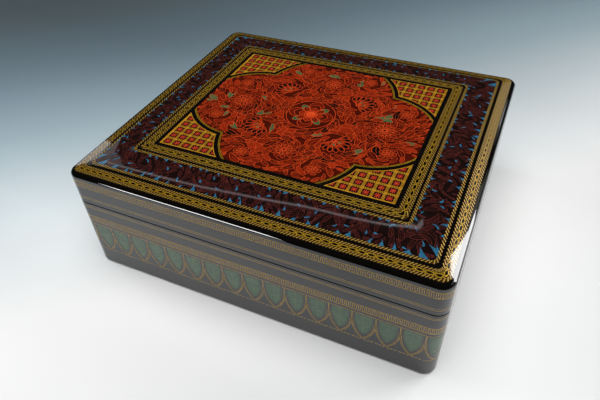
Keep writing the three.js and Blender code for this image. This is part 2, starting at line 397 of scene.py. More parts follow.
class Drawing:
    """Strokes of several inks on a flat sheet. What lies on a higher layer covers what is below."""

    line_lift: ClassVar[float] = 0.5  # how many layers a leaf's lines lie above its fill
    vein_pen: ClassVar[float] = 0.6  # a vein's width, as a share of the outline's

    def __init__(self) -> None:
        """Starts an empty drawing."""
        self.parts: dict[Ink, list[Sheet]] = {}

    def put(self, ink: Ink, sheet: Sheet) -> None:
        """Adds triangles of one ink."""
        self.parts.setdefault(ink, []).append(sheet)

    def between(self, ink: Ink, layer: float, left: np.ndarray, right: np.ndarray) -> None:
        """Fills the strip between two lines that run the same way.

        Args:
            ink: The ink.
            layer: The layer.
            left: Points of the line on the left.
            right: As many points of the line on the right.
        """
        count = len(left)
        i = np.arange(count - 1)
        first = np.stack([i + count, i + count + 1, i + 1], axis=1)
        second = np.stack([i + count, i + 1, i], axis=1)
        points = np.concatenate([left, right])
        self.put(ink, Sheet(points, np.full(2 * count, float(layer)), np.concatenate([first, second])))

    def stroke(self, ink: Ink, layer: float, line: np.ndarray, half: np.ndarray | float) -> None:
        """Draws a line of even or changing width.

        Args:
            ink: The ink.
            layer: The layer.
            line: The middle of the stroke.
            half: Half its width, or one value for each point.
        """
        line = np.asarray(line, float)
        side = left_of(line) * np.broadcast_to(half, len(line))[:, None]
        self.between(ink, layer, line + side, line - side)

    def leaf(self, fill: Ink, edge: Ink, layer: float, line: np.ndarray, half: np.ndarray, pen: float,
             veins: tuple[float, ...] = (0.0,)) -> None:
        """Draws a leaf: its fill, its outline and its veins.

        Args:
            fill: The ink inside.
            edge: The ink of the lines.
            layer: The layer of the fill.
            line: The midrib.
            half: Half the leaf's width at each point.
            pen: Half the width of the lines.
            veins: Where the veins run, from -1 at the right edge to 1 at the left.
        """
        side = left_of(line) * half[:, None]
        self.stroke(fill, layer, line, half)
        for way in (1, -1):
            self.stroke(edge, layer + self.line_lift, line + way * side, pen)
        vein_end = 4 * len(line) // 5
        for share in veins:
            vein = (line + share * side)[:vein_end]
            self.stroke(edge, layer + self.line_lift, vein, self.vein_pen * pen)

    def field(self, ink: Ink, layer: float, outline: np.ndarray) -> None:
        """Fills an outline that can be seen whole from its middle.

        Args:
            ink: The ink.
            layer: The layer.
            outline: The outline's points, counter-clockwise.
        """
        count = len(outline)
        i = np.arange(count)
        faces = np.stack([i, (i + 1) % count, np.full(count, count)], axis=1)
        points = np.concatenate([outline, outline.mean(axis=0)[None]])
        self.put(ink, Sheet(points, np.full(count + 1, float(layer)), faces))

    def dot(self, ink: Ink, layer: float, centre: Pair, radius: float, count: int) -> None:
        """Draws a round dot, as an outline of so many points."""
        self.field(ink, layer, arc(centre, radius, 0, 2 * math.pi * (1 - 1 / count), count))

    def take(self, other: "Drawing") -> None:
        """Adds another drawing to this one."""
        for ink, sheets in other.parts.items():
            self.parts.setdefault(ink, []).extend(sheets)

    def changed(self, change: Callable[[np.ndarray], np.ndarray], mirrored: bool = False) -> "Drawing":
        """Gives a copy whose points are moved.

        Args:
            change: Gives the new places of points.
            mirrored: Whether the change turns left into right.

        Returns:
            The copy.
        """
        copy = Drawing()
        for ink, sheets in self.parts.items():
            for sheet in sheets:
                faces = sheet.faces[:, ::-1] if mirrored else sheet.faces
                copy.put(ink, Sheet(change(sheet.points), sheet.layers, faces))
        return copy

    def moved(self, shift: np.ndarray) -> "Drawing":
        """Gives a copy that is moved by a shift."""
        return self.changed(lambda points: points + shift)

    def repeated(self, step: float, count: int) -> "Drawing":
        """Gives copies side by side.

        Args:
            step: From one copy to the next.
            count: How many copies.

        Returns:
            All of them as one drawing.
        """
        copy = Drawing()
        for ink in self.parts:
            sheet = self.joined(ink)
            size = len(sheet.points)
            points = np.tile(sheet.points, (count, 1))
            points[:, 0] += np.repeat(np.arange(count) * step, size)
            starts = np.repeat(np.arange(count) * size, len(sheet.faces))
            faces = np.tile(sheet.faces, (count, 1)) + starts[:, None]
            copy.put(ink, Sheet(points, np.tile(sheet.layers, count), faces))
        return copy

    def joined(self, ink: Ink) -> Sheet:
        """Joins all the triangles of one ink.

        Args:
            ink: The ink.

        Returns:
            One sheet.
        """
        sheets = self.parts[ink]
        starts = np.cumsum([0] + [len(sheet.points) for sheet in sheets])
        return Sheet(
            np.concatenate([sheet.points for sheet in sheets]),
            np.concatenate([sheet.layers for sheet in sheets]),
            np.concatenate([sheet.faces + start for sheet, start in zip(sheets, starts)]),
        )

    def lay(self, name: str, surface: Surface, body: Body) -> None:
        """Lays the drawing on a surface, as one piece for each ink.

        Args:
            name: The start of the pieces' names.
            surface: The surface.
            body: The body that the pieces ride on.
        """
        for ink in self.parts:
            sheet = fitted(self.joined(ink), surface)
            places, normals = surface.place(sheet.points, sheet.layers * LAYER)
            fill, points, faces = ink.value, (places * MM).tolist(), sheet.faces.tolist()
            piece = made(f"{name}_{fill.name}", points, faces, fill.material())
            piece.data.shade_smooth()
            piece.data.normals_split_custom_set_from_vertices(normals.tolist())
            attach(piece, body.value)
            log.info("laid %s: %d faces", piece.name, len(faces))


def fitted(sheet: Sheet, surface: Surface) -> Sheet:
    """Splits the edges of triangles until they follow a surface closely.

    Args:
        sheet: The triangles.
        surface: The surface.

    Returns:
        The finer triangles.
    """
    points, layers, faces = sheet.points, sheet.layers, sheet.faces
    while True:
        ends = np.sort(faces[:, [0, 1, 1, 2, 2, 0]].reshape(-1, 2), axis=1)
        keys, edge_of = np.unique(ends[:, 0] * len(points) + ends[:, 1], return_inverse=True)
        edges = np.stack([keys // len(points), keys % len(points)], axis=1)
        middles = points[edges].mean(axis=1)
        places = surface.place(points, np.zeros(len(points)))[0]
        true_middles = surface.place(middles, np.zeros(len(middles)))[0]
        far = np.linalg.norm(true_middles - places[edges].mean(axis=1), axis=1) > CLOSENESS
        if not far.any():
            return Sheet(points, layers, faces)
        new = np.full(len(edges), -1)
        new[far] = len(points) + np.arange(far.sum())
        points = np.concatenate([points, middles[far]])
        layers = np.concatenate([layers, layers[edges[far]].mean(axis=1)])
        faces = split_faces(faces, new[edge_of.reshape(-1)].reshape(-1, 3))


def split_faces(faces: np.ndarray, new: np.ndarray) -> np.ndarray:
    """Splits triangles at new points on their edges.

    Args:
        faces: The triangles.
        new: For each edge, from corner 0 to 1, 1 to 2 and 2 to 0, the new point on it or -1.

    Returns:
        The smaller triangles.
    """
    marks = (new >= 0).sum(axis=1)
    done = [faces[marks == 0]]
    for turn in range(3):
        a, b, c = (np.roll(faces, -turn, axis=1)[:, i] for i in range(3))
        m, n, o = (np.roll(new, -turn, axis=1)[:, i] for i in range(3))
        one = (marks == 1) & (m >= 0)
        done += [np.stack([a, m, c], axis=1)[one], np.stack([m, b, c], axis=1)[one]]
        two = (marks == 2) & (o < 0)
        done += [np.stack(corners, axis=1)[two] for corners in ((m, b, n), (a, m, n), (a, n, c))]
    a, b, c = faces.T
    m, n, o = new.T
    three = marks == 3
    done += [np.stack(corners, axis=1)[three] for corners in ((a, m, o), (m, b, n), (o, n, c), (m, n, o))]
    return np.concatenate(done)


@dataclass(frozen=True)
class Crown:
    """The softly crowned top of the lid, over a plan of it."""

    rise: float = 6.2
    margin: float = 50.0  # from the outside of the box to where the crown is flat
    hip_radius: float = 4.0

    def inset(self, points: np.ndarray) -> np.ndarray:
        """Gives how far in from the outside of the box places lie.

        Args:
            points: The places in plan.

        Returns:
            Their insets.
        """
        a = LENGTH / 2 - np.abs(points[:, 0])
        b = WIDTH / 2 - np.abs(points[:, 1])
        hip = self.hip_radius
        rounded = (a + b + np.sqrt(np.maximum(2 * hip**2 - (a - b) ** 2, 0))) / 2 - hip
        inset = np.where(np.abs(a - b) < hip, rounded, np.minimum(a, b))
        corner = CORNER_RADIUS - np.hypot(CORNER_RADIUS - a, CORNER_RADIUS - b)
        near = (a < CORNER_RADIUS) & (b < CORNER_RADIUS) & (corner < CORNER_RADIUS - hip)
        return np.where(near, corner, inset)

    def height(self, inset: np.ndarray) -> np.ndarray:
        """Gives the height of the crown at insets."""
        return TOP - self.rise * np.maximum(1 - inset / self.margin, 0) ** 2

    def slope(self, inset: float) -> float:
        """Gives the slope of the crown at an inset."""
        return 2 * self.rise / self.margin * max(1 - inset / self.margin, 0)

    def place(self, points: np.ndarray, lift: np.ndarray) -> tuple[np.ndarray, np.ndarray]:
        """Gives the places and normals of points of the plan, lifted off the crown.

        Args:
            points: The points.
            lift: How far each is lifted.

        Returns:
            The places and the normals.
        """
        step = 0.01
        slopes = [
            (self.height(self.inset(points + shift)) - self.height(self.inset(points - shift))) / (2 * step)
            for shift in (np.array([step, 0]), np.array([0, step]))
        ]
        normals = np.stack([-slopes[0], -slopes[1], np.ones(len(points))], axis=1)
        normals /= np.linalg.norm(normals, axis=1, keepdims=True)
        places = np.column_stack([points, self.height(self.inset(points))])
        return places + normals * lift[:, None], normals


@dataclass(frozen=True)
class Track:
    """A way around the box, ruled into cells: so many along each side, and some around each corner.

    A drawing on it runs along the front from the left, then around the right, the back and the left side.
    """

    pitches: Pair  # a cell's length along the front and the right side
    corner_cells: int
    margin: float  # from the outside of the box to where the sides begin
    dash_share: ClassVar[float] = 0.38  # a dash's width, as a share of their step
    dash_slant: ClassVar[float] = 0.95  # how far it leans over, likewise

    @property
    def cell(self) -> float:
        """Gives the length of a cell on a drawing."""
        return sum(self.pitches) / 2

    def counts(self) -> tuple[int, int]:
        """Gives the cells along the front and along the right side."""
        sides = zip((LENGTH, WIDTH), self.pitches)
        return tuple(round((side - 2 * self.margin) / pitch) for side, pitch in sides)

    def cells(self) -> int:
        """Gives the cells all the way around."""
        return 2 * sum(self.counts()) + 4 * self.corner_cells

    def ends(self) -> np.ndarray:
        """Gives where each side and corner begins along the way, and where the last one ends.

        Returns:
            The nine places.
        """
        front, right = self.counts()
        zones = [front, self.corner_cells, right, self.corner_cells] * 2
        return np.cumsum([0] + zones) * self.cell

    def found(self, along: np.ndarray) -> tuple[np.ndarray, np.ndarray, np.ndarray]:
        """Finds the side or corner that points lie on.

        Args:
            along: How far along the way each point lies.

        Returns:
            The side's number, whether a point is on the corner after it, and how far along that zone it is.
        """
        ends = self.ends()
        along = np.clip(along, 0, ends[-1])
        zone = np.clip(np.searchsorted(ends, along, side="right") - 1, 0, len(ends) - 2)
        share = (along - ends[zone]) / (ends[zone + 1] - ends[zone])
        return zone // 2, zone % 2 == 1, share

    def stations(self, fineness: int = 10) -> np.ndarray:
        """Gives places along the way for a plain line: the ends of each side, and more around corners.

        Args:
            fineness: The steps around a corner.

        Returns:
            The places.
        """
        ends = self.ends()
        corners = [np.linspace(ends[i], ends[i + 1], fineness + 1) for i in range(1, 8, 2)]
        return np.concatenate([[0.0], *corners])

    def course(self, drawing: Drawing, ink: Ink, layer: float, low: float, high: float) -> None:
        """Draws a plain line all the way around.

        Args:
            drawing: The drawing on this track.
            ink: The ink.
            layer: The layer.
            low: The line's lower edge on the drawing.
            high: Its higher edge.
        """
        along = self.stations()
        edges = [np.stack([along, np.full(len(along), value)], axis=1) for value in (high, low)]
        drawing.between(ink, layer, *edges)

    def rope(self, drawing: Drawing, layer: float, low: float, high: float) -> None:
        """Draws a twisted cord all the way around: slanted dashes on a darker ground, so many to a cell.

        Args:
            drawing: The drawing on this track.
            layer: The layer of the ground.
            low: The cord's lower edge on the drawing.
            high: Its higher edge.
        """
        self.course(drawing, Ink.BRONZE, layer, low, high)
        step = self.cell / TWISTS
        lean = self.dash_slant * step
        half = self.dash_share / 2 * step * (high - low) / math.hypot(high - low, lean)
        dash = Drawing()
        dash.stroke(Ink.CORD_GOLD, layer + 1, np.array([[0, low], [lean, high]]), half)
        drawing.take(dash.repeated(step, self.cells() * TWISTS))


def around(side: np.ndarray, along: np.ndarray, out: np.ndarray) -> tuple[np.ndarray, np.ndarray]:
    """Turns places seen from a side (0 front, 1 right, 2 back, 3 left) into the plan's x and y."""
    cos, sin = np.cos(side * QUARTER), np.sin(side * QUARTER)
    return along * cos + out * sin, along * sin - out * cos


def halves(side: np.ndarray) -> tuple[np.ndarray, np.ndarray]:
    """Gives half the length of each side, and half the box's depth behind it."""
    even = side % 2 == 0
    return np.where(even, LENGTH, WIDTH) / 2, np.where(even, WIDTH, LENGTH) / 2


@dataclass(frozen=True)
class Ring(Track):
    """A band around the crown between two insets. The height of a drawing on it is the inset."""

    outer: float
    inner: float
    outer_radius: float
    inner_radius: float
    least_radius: ClassVar[float] = 0.1

    @classmethod
    def of(cls, outer: float, inner: float, radii: Pair, pitches: Pair, corner_cells: int) -> "Ring":
        """Makes a ring whose corners are ruled as far as its rounded corners reach."""
        return cls(pitches, corner_cells, inner + radii[1], outer, inner, *radii)

    def plan(self, points: np.ndarray) -> np.ndarray:
        """Gives the places in plan of points of a drawing.

        Args:
            points: The points.

        Returns:
            Their places.
        """
        side, corner, share = self.found(points[:, 0])
        inset = points[:, 1]
        half, depth = halves(side)
        slant = (self.inner_radius - self.outer_radius) / (self.inner - self.outer)
        radius = np.maximum(self.outer_radius + slant * (inset - self.outer), self.least_radius)
        reach = self.margin - inset
        straight = reach - radius
        way = share * (2 * straight + radius * QUARTER)
        angle = np.clip((way - straight) / radius, 0, QUARTER)
        after = np.maximum(way - straight - radius * QUARTER, 0)
        corner_along = np.minimum(way, straight) + radius * np.sin(angle)
        corner_out = straight + radius * np.cos(angle) - after
        along = np.where(corner, half - self.margin + corner_along, (2 * share - 1) * (half - self.margin))
        out = np.where(corner, depth - self.margin + corner_out, depth - inset)
        return np.stack(around(side, along, out), axis=1)


@dataclass(frozen=True)
class Wall(Track):
    """The upright sides. The height of a drawing on them is the height above the table."""

    def place(self, points: np.ndarray, lift: np.ndarray) -> tuple[np.ndarray, np.ndarray]:
        """Gives the places and normals of points of a drawing, lifted off the sides.

        Args:
            points: The points.
            lift: How far each is lifted.

        Returns:
            The places and the normals.
        """
        side, corner, share = self.found(points[:, 0])
        half, depth = halves(side)
        angle = np.where(corner, share * QUARTER, 0)
        radius = CORNER_RADIUS + lift
        straight = (2 * share - 1) * (half - CORNER_RADIUS)
        along = np.where(corner, half - CORNER_RADIUS + radius * np.sin(angle), straight)
        out = depth - CORNER_RADIUS + radius * np.cos(angle)
        x, y = around(side, along, out)
        across, away = around(side, np.sin(angle), np.cos(angle))
        return np.stack([x, y, points[:, 1]], axis=1), np.stack([across, away, np.zeros(len(x))], axis=1)


@dataclass(frozen=True)
class Contour:
    """One rounded rectangle of a shell."""

    inset: float
    radius: float
    height: float


@dataclass
class Shell:
    """A closed shell skinned over contours, with a flat cap on the first and the last."""

    contours: list[Contour]
    corner_steps: int = 20
    crease: float = 25.0  # degrees, from which an edge stays sharp

    def ring(self, contour: Contour) -> np.ndarray:
        """Gives the points of one contour, counter-clockwise from above.

        Args:
            contour: The contour.

        Returns:
            Its points.
        """
        turn = np.linspace(0, QUARTER, self.corner_steps + 1)
        side = np.repeat(np.arange(4), len(turn))
        half, depth = halves(side)
        turn = np.tile(turn, 4)
        reach = contour.inset + contour.radius
        along = half - reach + contour.radius * np.sin(turn)
        out = depth - reach + contour.radius * np.cos(turn)
        x, y = around(side, along, out)
        return np.stack([x, y, np.full(len(x), contour.height)], axis=1)

    def build(self, name: str, finish: Lacquer, body: Body, node: str) -> None:
        """Makes the shell in place of a node of the frame.

        Args:
            name: The piece's name.
            finish: The shell's finish.
            body: The body that it rides on.
            node: The node that it stands for.
        """
        rings = [self.ring(contour) for contour in self.contours]
        count = len(rings[0])
        i = np.arange(count)
        band = np.stack([i, (i + 1) % count, (i + 1) % count + count, i + count], axis=1)
        sides = [(band + ring * count).tolist() for ring in range(len(rings) - 1)]
        caps = [i[::-1].tolist(), (i + (len(rings) - 1) * count).tolist()]
        faces = [face for side in sides for face in side] + caps
        piece = made(name, (np.concatenate(rings) * MM).tolist(), faces, finish.material())
        piece.data.shade_smooth()
        piece.data.set_sharp_from_angle(angle=math.radians(self.crease))
        even = piece.modifiers.new("even_shading", "WEIGHTED_NORMAL")
        even.keep_sharp = True
        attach(piece, body.value)
        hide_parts(node)
        log.info("built %s: %d faces", name, len(faces))


def fillet(inset: float, radius: float, height: float, towards: int, steps: int = 8) -> list[Contour]:
    """Gives the contours of a hollow's rounded bottom edge, from its flat end outwards.

    Args:
        inset: The hollow's inset above the rounding.
        radius: The rounding's radius.
        height: The height of the flat end.
        towards: 1 if the hollow opens upwards, -1 if downwards.
        steps: How many steps the rounding has.

    Returns:
        The contours.
    """
    angles = [QUARTER * step / steps for step in range(steps + 1)]
    return [
        Contour(inset + radius * (1 - math.sin(a)), radius, height + towards * radius * (1 - math.cos(a)))
        for a in angles
    ]


@dataclass
class Box:
    """The lower box: its outer coat and its lining, over the frame's boards and keys."""

    coats: Coats
    coat: float = 1.5
    wood_inset: float = 1.5
    wall_inside: float = 7.1
    lip_wood: float = 9.0
    lip_outside: float = 8.2
    lip_corner: float = 1.6
    lip_ease: float = 0.5
    lip_height: float = 8.0
    inner_coat: float = 0.8
    liner_inside: float = 11.6
    inner_corner: float = 3.0
    floor_top: float = 9.5
    foot_radius: float = 2.5
    foot_recess: float = 2.0
    seam_ease: Pair = (1.1, 0.5)
    sharp: float = 0.05  # the corner radius where boards meet squarely
    foot_steps: int = 8

    def coat_contours(self) -> list[Contour]:
        """Gives the outer coat, from the hollow under the foot around the side to the bed of the boards.

        Returns:
            The contours.
        """
        recess = self.wall_inside + self.coat
        rounding = [QUARTER * (1 - step / self.foot_steps) for step in range(self.foot_steps + 1)]
        foot = [
            Contour(
                self.foot_radius * (1 - math.cos(a)),
                CORNER_RADIUS - self.foot_radius * (1 - math.cos(a)),
                self.foot_radius * (1 - math.sin(a)),
            )
            for a in rounding
        ]
        wood_radius = CORNER_RADIUS - self.wood_inset
        wall_top = SEAM - self.coat
        return [
            Contour(recess, self.inner_corner, self.foot_recess),
            Contour(recess, self.inner_corner, 0),
            *foot,
            Contour(0, CORNER_RADIUS, SEAM - self.seam_ease[1]),
            Contour(self.seam_ease[0], CORNER_RADIUS - self.seam_ease[0], SEAM),
            Contour(self.lip_wood, self.sharp, SEAM),
            Contour(self.lip_wood, self.sharp, wall_top),
            Contour(self.wood_inset, wood_radius, wall_top),
            Contour(self.wood_inset, wood_radius, self.coat),
            Contour(self.wall_inside, self.sharp, self.coat),
            Contour(self.wall_inside, self.sharp, self.foot_recess + self.coat),
        ]

    def lining_contours(self) -> list[Contour]:
        """Gives the lining, from the floor's underside over the lip to the floor.

        Returns:
            The contours.
        """
        lip_top = SEAM + self.lip_height
        wood_top = lip_top - self.inner_coat
        inside = self.liner_inside + self.inner_coat
        return [
            Contour(self.liner_inside, self.sharp, self.floor_top),
            Contour(self.liner_inside, self.sharp, wood_top),
            Contour(self.lip_wood, self.sharp, wood_top),
            Contour(self.lip_wood, self.sharp, SEAM),
            Contour(self.lip_outside, self.lip_corner, SEAM),
            Contour(self.lip_outside, self.lip_corner, lip_top - self.lip_ease),
            Contour(self.lip_outside + self.lip_ease, self.lip_corner, lip_top),
            Contour(inside, self.inner_corner, lip_top),
            *reversed(fillet(inside, self.inner_corner, self.floor_top + self.inner_coat, 1)),
        ]

    def build(self) -> None:
        """Makes both coats."""
        Shell(self.coat_contours()).build("box_outer_coat", self.coats.black, Body.BOX, "body_coat")
        Shell(self.lining_contours()).build("box_inner_coat", self.coats.inner, Body.BOX, "body_lining")


@dataclass
class Lid:
    """The lid: its outer coat and its lining, over the frame's boards and keys."""

    coats: Coats
    crown: Crown
    coat: float = 1.5
    edge_radius: float = 3.2
    wall_inside: float = 7.1
    inner_coat: float = 0.8
    ceiling: float = 81.0
    hollow_corner: float = 1.9
    seam_ease: Pair = (1.1, 0.5)
    sharp: float = 0.05
    edge_steps: int = 12
    crown_steps: int = 36
    rounds: int = 20  # of the search for the place where the edge meets the crown

    def plan_radius(self, inset: float) -> float:
        """Gives the corner radius of the lid's contours at an inset."""
        return max(CORNER_RADIUS - inset, self.crown.hip_radius)

    def edge_end(self) -> Pair:
        """Finds where the edge rounding meets the crown with the same slope.

        Returns:
            The inset of that place and the tilt of the surface's normal there.
        """
        inset, tilt = self.edge_radius, 0.0
        for _ in range(self.rounds):
            tilt = math.atan2(1, self.crown.slope(inset))
            inset = self.edge_radius * (1 - math.cos(tilt))
        return inset, tilt

    def skin(self, depth: float) -> list[Contour]:
        """Gives the edge and the crown, moved inwards, from the side to the flat middle.

        Args:
            depth: How far they are moved inwards.

        Returns:
            The contours.
        """
        end, end_tilt = self.edge_end()
        centre = float(self.crown.height(end)) - self.edge_radius * math.sin(end_tilt)
        rows = []
        for step in range(self.edge_steps):
            tilt = step / self.edge_steps * end_tilt
            height = centre + self.edge_radius * math.sin(tilt)
            rows.append((self.edge_radius * (1 - math.cos(tilt)), height, tilt))
        for step in range(self.crown_steps + 1):
            inset = end + step / self.crown_steps * (self.crown.margin - end)
            rows.append((inset, float(self.crown.height(inset)), math.atan2(1, self.crown.slope(inset))))
        return [
            Contour(
                inset + depth * math.cos(tilt),
                self.plan_radius(inset + depth * math.cos(tilt)),
                height - depth * math.sin(tilt),
            )
            for inset, height, tilt in rows
        ]

    def coat_contours(self) -> list[Contour]:
        """Gives the outer coat, from the top board's bed around the rim to the lid's flat middle.

        Returns:
            The contours.
        """
        return [
            *reversed(self.skin(self.coat)),
            Contour(self.coat, self.plan_radius(self.coat), SEAM + self.coat),
            Contour(self.wall_inside, self.sharp, SEAM + self.coat),
            Contour(self.wall_inside, self.sharp, SEAM),
            Contour(self.seam_ease[0], CORNER_RADIUS - self.seam_ease[0], SEAM),
            Contour(0, CORNER_RADIUS, SEAM + self.seam_ease[1]),
            *self.skin(0),
        ]

    def lining_contours(self) -> list[Contour]:
        """Gives the lining, from the ceiling down the inside and up again behind it.

        Returns:
            The contours.
        """
        inside = self.wall_inside + self.inner_coat
        hollow = fillet(inside, self.hollow_corner, self.ceiling - self.inner_coat, -1)
        return [
            *hollow,
            Contour(inside, self.hollow_corner, SEAM),
            Contour(self.wall_inside, self.sharp, SEAM),
            Contour(self.wall_inside, self.sharp, self.ceiling),
        ]

    def build(self) -> None:
        """Makes both coats."""
        Shell(self.coat_contours()).build("lid_outer_coat", self.coats.black, Body.LID, "lid_coat")
        Shell(self.lining_contours()).build("lid_inner_coat", self.coats.inner, Body.LID, "lid_lining")


@dataclass
class Boards:
    """The frame's own boards and keys, which keep their shape and get their wood."""

    coats: Coats

    def dress(self) -> None:
        """Gives every board and key its wood, with the grain along it."""
        for name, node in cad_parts.items():
            if "coat" in name or "lining" in name:
                continue
            if "key" in name:
                wood = self.coats.key
            elif "left" in name or "right" in name:
                wood = self.coats.board_along_y
            else:
                wood = self.coats.board_along_x
            node.data.materials.clear()
            node.data.materials.append(wood.material())
            log.info("dressed %s", name)


@dataclass
class ChainBorder:
    """A gold border on the crown: a chain of dark lenses between two twisted cords, all on black."""

    ring: Ring
    dashes: Pair  # from dash to dash, along the front and the right side
    row: float = 1.8  # width of a cord
    gap: float = 0.15  # between a cord and the chain
    thread: float = 0.19  # half the width of the chain's threads
    thread_gap: float = 0.2
    dart: float = 0.1  # half the width of the darts at the crossings
    dart_foot: float = 0.55  # where a dart begins, as a share of the chain's half width
    darts: tuple[Pair, ...] = ((0.0, 0.14), (0.1, 0.24))  # their ends, as shares of a cell

    def draw(self) -> Drawing:
        """Draws the border.

        Returns:
            The drawing in plan.
        """
        ring, drawing, cords = self.ring, Drawing(), Drawing()
        cord_ring = replace(ring, pitches=tuple(TWISTS * pitch for pitch in self.dashes))
        ring.course(drawing, Ink.BLACK, 1, ring.outer, ring.inner)
        cord_ring.rope(cords, 2, ring.outer, ring.outer + self.row)
        cord_ring.rope(cords, 2, ring.inner - self.row, ring.inner)
        drawing.take(self.link().repeated(ring.cell, ring.cells()))
        whole = drawing.changed(ring.plan)
        whole.take(cords.changed(cord_ring.plan))
        return whole

    def link(self) -> Drawing:
        """Draws a link of the chain: two threads that cross around a dark lens, with darts at the crossing.

        Returns:
            The drawing of one cell.
        """
        ring, link, share = self.ring, Drawing(), np.linspace(0, 1, 15)
        middle = (ring.outer + ring.inner) / 2
        reach = (ring.inner - ring.outer) / 2 - self.row - self.gap
        for way in (-1, 1):
            bow = way * (reach - self.thread - self.thread_gap) * np.sin(math.pi * share)
            link.stroke(Ink.GOLD, 3, np.stack([share * ring.cell, middle + bow], axis=1), self.thread)
            for turn in (-1, 1):
                start = ring.cell * (0.5 - 0.5 * turn)
                for near, far in self.darts:
                    line = np.array([
                        [start + turn * near * ring.cell, middle + way * self.dart_foot * reach],
                        [start + turn * far * ring.cell, middle + way * reach],
                    ])
                    link.stroke(Ink.GOLD, 3, line, self.dart)
        return link


@dataclass
class Cord:
    """A twisted gold cord on the crown."""

    ring: Ring

    def draw(self) -> Drawing:
        """Draws the cord.

        Returns:
            The drawing in plan.
        """
        cord = Drawing()
        self.ring.rope(cord, 1, self.ring.outer, self.ring.inner)
        return cord.changed(self.ring.plan)


class Flower(Enum):
    """What stands in the middle of a whorl of leaves."""

    NONE = "none"
    MIDDLE = "middle"
    BLOSSOM = "blossom"
    PALMETTE = "palmette"


@dataclass(frozen=True)
class Centre:
    """A place that leaves turn around."""

    x: float
    y: float
    radius: float
    sense: int
    flower: Flower = Flower.NONE
    petals: int = 0


@dataclass
class Foliage:
    """Overlapping leaves that are scattered over a ground and turn around its centres.

    A pair of numbers gives the least and the most that a leaf may have.
    """

    inside: Callable[[np.ndarray, float], np.ndarray]
    centres: list[Centre]
    fills: dict[Ink, float]  # each fill's share of the leaves
    edge: Ink
    pen: Pair
    length: Pair
    width: Pair  # half the width, as a share of the length
    spacing: float
    inward: float  # turn towards the centre, in radians
    tries: int
    layer: float
    seed: int
    swerve: Pair = (0.6, 1.2)
    bend: Pair = (0.5, 1.4)
    fullness: float = 0.8
    veins: tuple[tuple[float, ...], ...] = ((0.0,), (-0.4, 0.35), (-0.55, 0.0, 0.55))
    sizes: tuple[float, ...] = (1.0, 0.8, 0.6, 0.45, 0.3)  # tried in turn, until the leaf fits its ground
    stack: int = 12  # how many leaves lie on layers of their own
    stack_step: float = 0.7
    edge_margin: float = 0.2  # as a share of the spacing
    centre_margin: float = 0.4
    gap_ease: float = 1.0
    least_gap: float = 0.5
    steps: int = 10

    def draw(self) -> Drawing:
        """Draws the leaves.

        Returns:
            The drawing in plan.
        """
        leaves, chance = Drawing(), np.random.default_rng(self.seed)
        inks, weights = list(self.fills), np.array(list(self.fills.values()))
        share = np.linspace(0, 1, self.steps + 1)
        shape = np.sin(math.pi * share**self.fullness) ** self.fullness
        for number, (x, y) in enumerate(self.spots(chance)):
            turn, spin = self.flow(x, y)
            length = chance.uniform(*self.length)
            bend = spin * chance.uniform(*self.bend)
            angle = turn + spin * self.inward * chance.uniform(*self.swerve) - bend / 2 + bend * share
            strides = length / self.steps * np.stack([np.cos(angle), np.sin(angle)], axis=1)
            line = np.cumsum(strides, axis=0) - strides.sum(axis=0) / 2
            half = np.maximum(length * chance.uniform(*self.width) * shape, TIP)
            fill = inks[chance.choice(len(inks), p=weights / weights.sum())]
            pen = chance.uniform(*self.pen)
            veins = self.veins[chance.integers(len(self.veins))]
            for size in self.sizes:
                side = left_of(line) * size * half[:, None]
                spot = np.array([x, y]) + size * line
                if self.inside(np.concatenate([spot + side, spot - side]), 0).all():
                    layer = self.layer + number % self.stack * self.stack_step
                    leaves.leaf(fill, self.edge, layer, spot, size * half, pen, veins)
                    break
        return leaves

    def spots(self, chance: np.random.Generator) -> np.ndarray:
        """Scatters the middles of the leaves evenly over the ground.

        Args:
            chance: The source of random numbers.

        Returns:
            The places.
        """
        limits = np.array([LENGTH, WIDTH]) / 2
        tries = chance.uniform(-limits, limits, (self.tries, 2))
        tries = tries[self.inside(tries, self.edge_margin * self.spacing)]
        for centre in self.centres:
            away = np.hypot(tries[:, 0] - centre.x, tries[:, 1] - centre.y)
            tries = tries[away > centre.radius + self.centre_margin]
        kept = tries[:1]
        for spot in tries[1:]:
            if np.hypot(*(kept - spot).T).min() > self.spacing:
                kept = np.concatenate([kept, spot[None]])
        return kept

    def flow(self, x: float, y: float) -> tuple[float, int]:
        """Gives the direction in which leaves run at a place.

        Args:
            x: The place's x.
            y: Its y.

        Returns:
            The direction, in radians, and the sense of turning.
        """
        total, near, spin = np.zeros(2), math.inf, 1
        for centre in self.centres:
            dx, dy = x - centre.x, y - centre.y
            gap = max(math.hypot(dx, dy) - centre.radius + self.gap_ease, self.least_gap)
            total += centre.sense * np.array([-dy, dx]) / math.hypot(dx, dy) / gap**2
            if gap < near:
                near, spin = gap, centre.sense
        return math.atan2(total[1], total[0]), spin


